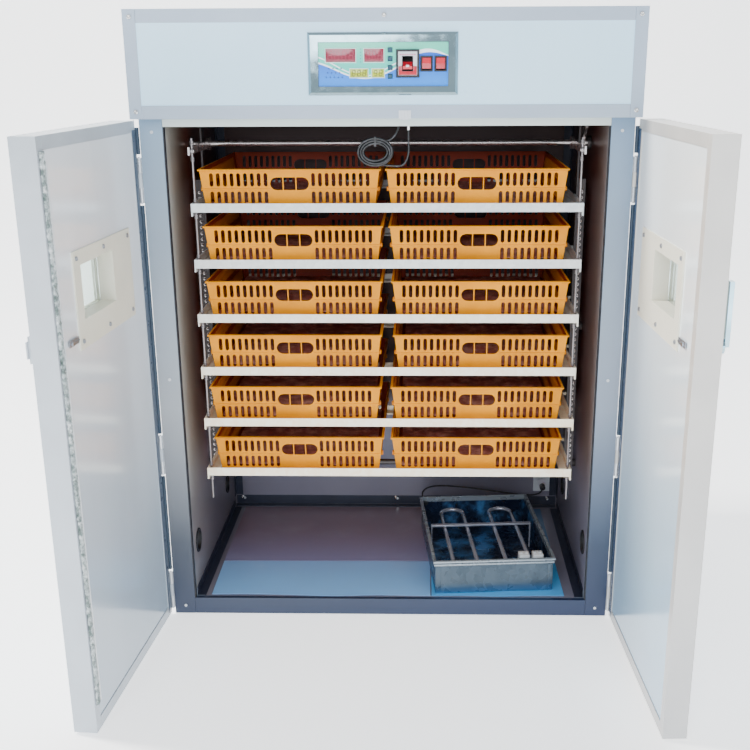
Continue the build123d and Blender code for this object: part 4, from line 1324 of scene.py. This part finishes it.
def makeWallSkin():
    # one skin outside and another in the chamber: dark beside the rack, paler below it, as painted
    # reflection and painted shade
    made = Finish("wallSkin", roughness=0.3, metallic=0.0)
    within = made.inside(made.x, -0.4497, 0.4497) * made.inside(made.y, -0.2795, 0.2945)
    within = within * (made.z > 0.037) * (made.z < 1.275)
    cloud = made.noise(4, 2, 0.4, (1, 1, 0.4))
    # painted reflection of the orange baskets and painted shade: pale at the front, brown and then
    # deep red behind
    depth = (made.y + 0.28) / 0.56
    # the left wall takes the brighter ramp, the right wall the dimmer one: painted light and shade
    onLeft = 1 - made.x.band(-0.46, -0.40)
    bright = made.ramp(depth, [(0.0, (0.60, 0.58, 0.51)), (0.13, (0.46, 0.42, 0.35)),
                               (0.25, (0.22, 0.13, 0.09)), (0.35, (0.20, 0.040, 0.020)),
                               (0.50, (0.10, 0.016, 0.012)), (1.0, (0.05, 0.012, 0.010))])
    dim = made.ramp(depth, [(0.0, (0.30, 0.24, 0.22)), (0.14, (0.20, 0.13, 0.11)),
                            (0.26, (0.13, 0.035, 0.025)),
                            (0.50, (0.08, 0.016, 0.012)), (1.0, (0.05, 0.016, 0.014))])
    rackZone = made.blend(dim, bright, onLeft)
    # darker near the ceiling: painted shade
    ceilingZone = made.blend(rackZone, (0.060, 0.040, 0.032), made.z.band(1.06, 1.16))
    lowZone = made.blend((0.19, 0.18, 0.24), (0.22, 0.21, 0.27), cloud.band(0.3, 0.7))
    # the left wall's low part is darker towards the back: painted shade
    lowLeft = made.ramp(depth, [(0.0, (0.30, 0.27, 0.26)), (0.5, (0.15, 0.13, 0.15))])
    lowZone = made.blend(lowZone, lowLeft, onLeft)
    chamber = made.blend(lowZone, ceilingZone, made.z.band(0.22, 0.40))
    shell = made.blend((0.42, 0.49, 0.56), (0.47, 0.54, 0.61), made.noise(3, 2, 0.4))
    made.feed("Metallic", within * 0.2)
    made.grain(0.32, made.noise(26, 2, 0.4), 0.02)
    return made.done(made.blend(shell, chamber, within), made.noise(3, 1, 0.3), 0.05, 0.001)


def makeFrameFinish():
    # stiles and sill: coated aluminium with painted shade and painted reflection, darker and bluer
    # towards the floor; the top rail is cream
    made = Finish("frameFinish", roughness=0.33, metallic=0.15, Coat_Weight=0.15)
    level = made.ramp(made.z / 1.1, [(0.0, (0.022, 0.036, 0.076)), (0.16, (0.062, 0.075, 0.100)),
                                     (0.45, (0.31, 0.34, 0.37)), (1.0, (0.22, 0.32, 0.43))])
    # paler on the left, bluer on the right and most of all low down: painted light and painted
    # reflection
    paintedSideLight = made.blend((1.05, 1.02, 1.0), (0.55, 0.72, 0.98),
                          made.x.band(-0.35, 0.45) * (1 - made.z.band(0.1, 0.75) * 0.75))
    level = made.blend(level, paintedSideLight, 1.0, "MULTIPLY")
    rail = (made.z > 1.0845) * (made.x.size() < 0.4480)
    cream = made.blend((0.62, 0.68, 0.64), (0.70, 0.75, 0.70), made.noise(12, 3))
    made.grain(0.33, made.noise(20, 4, 0.7), 0.16)
    return made.done(made.blend(level, cream, rail), made.noise(900, 2, 0.5, (1, 1, 0.05)),
                     0.08, 0.0003)


def makeTrimFinish():
    # outer angles are pale; those in the chamber's corners are nearly black, which is painted shade
    made = Finish("trimFinish", roughness=0.34, metallic=0.25)
    within = made.inside(made.x, -0.4465, 0.4465) * made.inside(made.y, -0.2795, 0.2915)
    within = within * (made.z < 1.26)
    lines = made.noise(700, 3, 0.6, (0.05, 1, 1))
    pale = made.blend((0.32, 0.39, 0.48), (0.40, 0.47, 0.56), made.noise(8, 3, 0.6))
    pale = made.blend(pale, (0.30, 0.36, 0.44), lines.band(0.5, 0.8) * 0.3)
    dark = made.blend((0.014, 0.017, 0.034), (0.035, 0.042, 0.072), made.noise(14, 2, 0.4))
    made.grain(0.34, made.noise(30, 3, 0.6), 0.18)
    return made.done(made.blend(pale, dark, within), lines, 0.06, 0.0002)


def makeShelfFinish():
    made = Finish("shelfZinc", roughness=0.42, metallic=0.30)
    crystal = made.node("ShaderNodeSeparateColor", None, {0: made.cells(110)})
    cloud = made.noise(26, 4, 0.65, (0.5, 1, 1.6))
    lit = crystal * 0.6 + cloud.band(0.3, 0.7) * 0.4
    # paler and warmer on the lower shelves, greyer on the upper ones: painted light
    lower = made.blend((0.94, 0.76, 0.54), (1.0, 0.93, 0.76), lit)
    upper = made.blend((0.56, 0.60, 0.61), (0.72, 0.75, 0.75), lit)
    tone = made.blend(lower, upper, made.z.band(0.42, 0.92))
    tone = made.blend(tone, (0.45, 0.47, 0.48), cloud.band(0.62, 0.85) * 0.5)
    made.grain(0.40, cloud, 0.25)
    return made.done(tone, cloud + crystal * 0.2, 0.15, 0.0004)


def makeDoorTrim(name, warm):
    made = Finish(name, roughness=0.36, metallic=0.12, Coat_Weight=0.10)
    cloud = made.noise(6, 3, 0.6)
    # darker and bluer towards the bottom: painted reflection of the blue floor
    low = made.z.band(0.0, 1.0)
    tone = made.blend(warm, tuple(min(1, 1.12 * c) for c in warm), cloud.band(0.3, 0.7))
    tone = made.blend(made.blend(tone, (0.36, 0.42, 0.50), 0.30), tone, low)
    made.grain(0.34, made.noise(24, 4, 0.6), 0.16)
    return made.done(tone, made.noise(800, 3, 0.5, (1, 1, 0.04)), 0.08, 0.0003)


def makeGlass():
    made = Finish("windowGlass", roughness=0.03, Transmission_Weight=1.0, IOR=1.45)
    made.feed("Base Color", made.blend((0.86, 0.95, 0.93), (0.92, 0.98, 0.97), made.noise(5, 2)))
    return made.material


def dressParts():
    dress(makeWallSkin(), "left_wall", "right_wall", "back_wall", "roof", "base_floor")
    # the header's strong blue is partly its pale blue-grey paint and partly painted blue skylight
    # on the shaded front
    dress(paintedPanel("headerSkin", (0.55, 0.82, 1.0), (0.54, 0.81, 1.0)), "header_panel")
    dress(makeFrameFinish(), "door_frame", bevel=0.0006)
    dress(makeTrimFinish(), "edge_trims", bevel=0.0004)
    # both door skins are one white panel: the right one's near white is painted sunlight, the left
    # one's grey is painted shade
    dress(paintedPanel("leftDoorSkin", (0.84, 0.87, 0.90), (0.36, 0.45, 0.54), 0.2, 0.5, "left"),
          "left_door_panel")
    dress(paintedPanel("rightDoorSkin", (0.96, 1.0, 1.0), (0.30, 0.50, 0.68), 0.2, 0.5, "right"),
          "right_door_panel")
    # both door trims are one aluminium: the right one's warmer grey is painted sunlight, the left
    # one's bluer grey is painted shade
    dress(makeDoorTrim("leftDoorTrimFinish", (0.46, 0.50, 0.54)), "left_door_trim", bevel=0.0006)
    dress(makeDoorTrim("rightDoorTrimFinish", (0.56, 0.53, 0.49)), "right_door_trim", bevel=0.0006)
    dress(moulded("windowCream", (0.80, 0.77, 0.64), 0.4, 0.08),
          "left_window_frame", "right_window_frame")
    dress(makeGlass(), "left_window_glass", "right_window_glass")
    dress(makeShelfFinish(), *[f"shelf_{k}" for k in range(1, 7)], bevel=0.0005)
    dress(zincPlate, "turning_shaft")
    dress(brushedMetal("gearSteel", (0.55, 0.54, 0.52), 0.3, 0.9, "X"), "motor_pinion")
    dress(moulded("motorBlack", (0.02, 0.02, 0.024), 0.42), "turning_motor")
    dress(moulded("fanBlack", (0.018, 0.018, 0.02), 0.4), "fan_unit")
    dress(moulded("bladeBlack", (0.03, 0.03, 0.034), 0.35), "fan_rotor")
    dress(moulded("housingGrey", (0.22, 0.23, 0.25), 0.4), "control_box")
    dress(brushedMetal("fittingSteel", (0.62, 0.64, 0.67), 0.3, 0.85, "Z"), "cabinet_fittings",
          "cabinet_hinges")
    chrome = Finish("chromeBezel", roughness=0.06, metallic=1.0)
    # the chrome's blue-teal colour is a painted reflection
    chrome.feed("Base Color", chrome.blend((0.22, 0.34, 0.38), (0.48, 0.64, 0.70),
                                           chrome.noise(12, 2)))
    chrome.feed("Roughness", 0.05 + chrome.noise(60, 3).band(0.4, 0.8) * 0.08)
    dress(chrome.material, "control_bezel", "latch_handle")
    red = moulded("switchRed", (0.58, 0.012, 0.030), 0.22, 0.1, Coat_Weight=0.4)
    dress(red, "breaker_lever", "rocker_left", "rocker_right")
    dress(moulded("keyBlue", (0.006, 0.06, 0.10), 0.3), *[f"button_{k}" for k in range(1, 5)])


dressParts()
print("finishes are on the CAD parts")


stageSizes = {"start": -6.5, "run": 9.0, "bend": 2.4, "rise": 6.0, "spread": 20}


def makeStage():
    # a pale floor that curves up into a backdrop behind the object
    start, run, bend = stageSizes["start"], stageSizes["run"], stageSizes["bend"]
    arc = bend * math.pi / 2
    deselectAll()
    bpy.ops.mesh.primitive_grid_add(x_subdivisions=2, y_subdivisions=80, size=2, location=(0, 0, 0))
    floor = bpy.context.object
    floor.name = "studioFloor"
    for vert in floor.data.vertices:
        way = (vert.co.y + 1) / 2 * (run + arc + stageSizes["rise"])
        vert.co.x *= stageSizes["spread"]
        if way < run:
            vert.co.y, vert.co.z = start + way, 0.0
        elif way < run + arc:
            angle = (way - run) / bend
            vert.co.y = start + run + bend * math.sin(angle)
            vert.co.z = bend * (1 - math.cos(angle))
        else:
            vert.co.y, vert.co.z = start + run + bend, bend + way - run - arc
    smoothByAngle(floor, 60)
    paint = Finish("studioPaint", roughness=0.9, Emission_Strength=1.2)
    paint.feed("Base Color", paint.blend((0.93, 0.94, 0.95), (0.95, 0.955, 0.96),
                                         paint.noise(1.5, 2)))
    paint.feed("Emission Color", (1, 1, 1))
    floor.data.materials.append(paint.material)


makeStage()
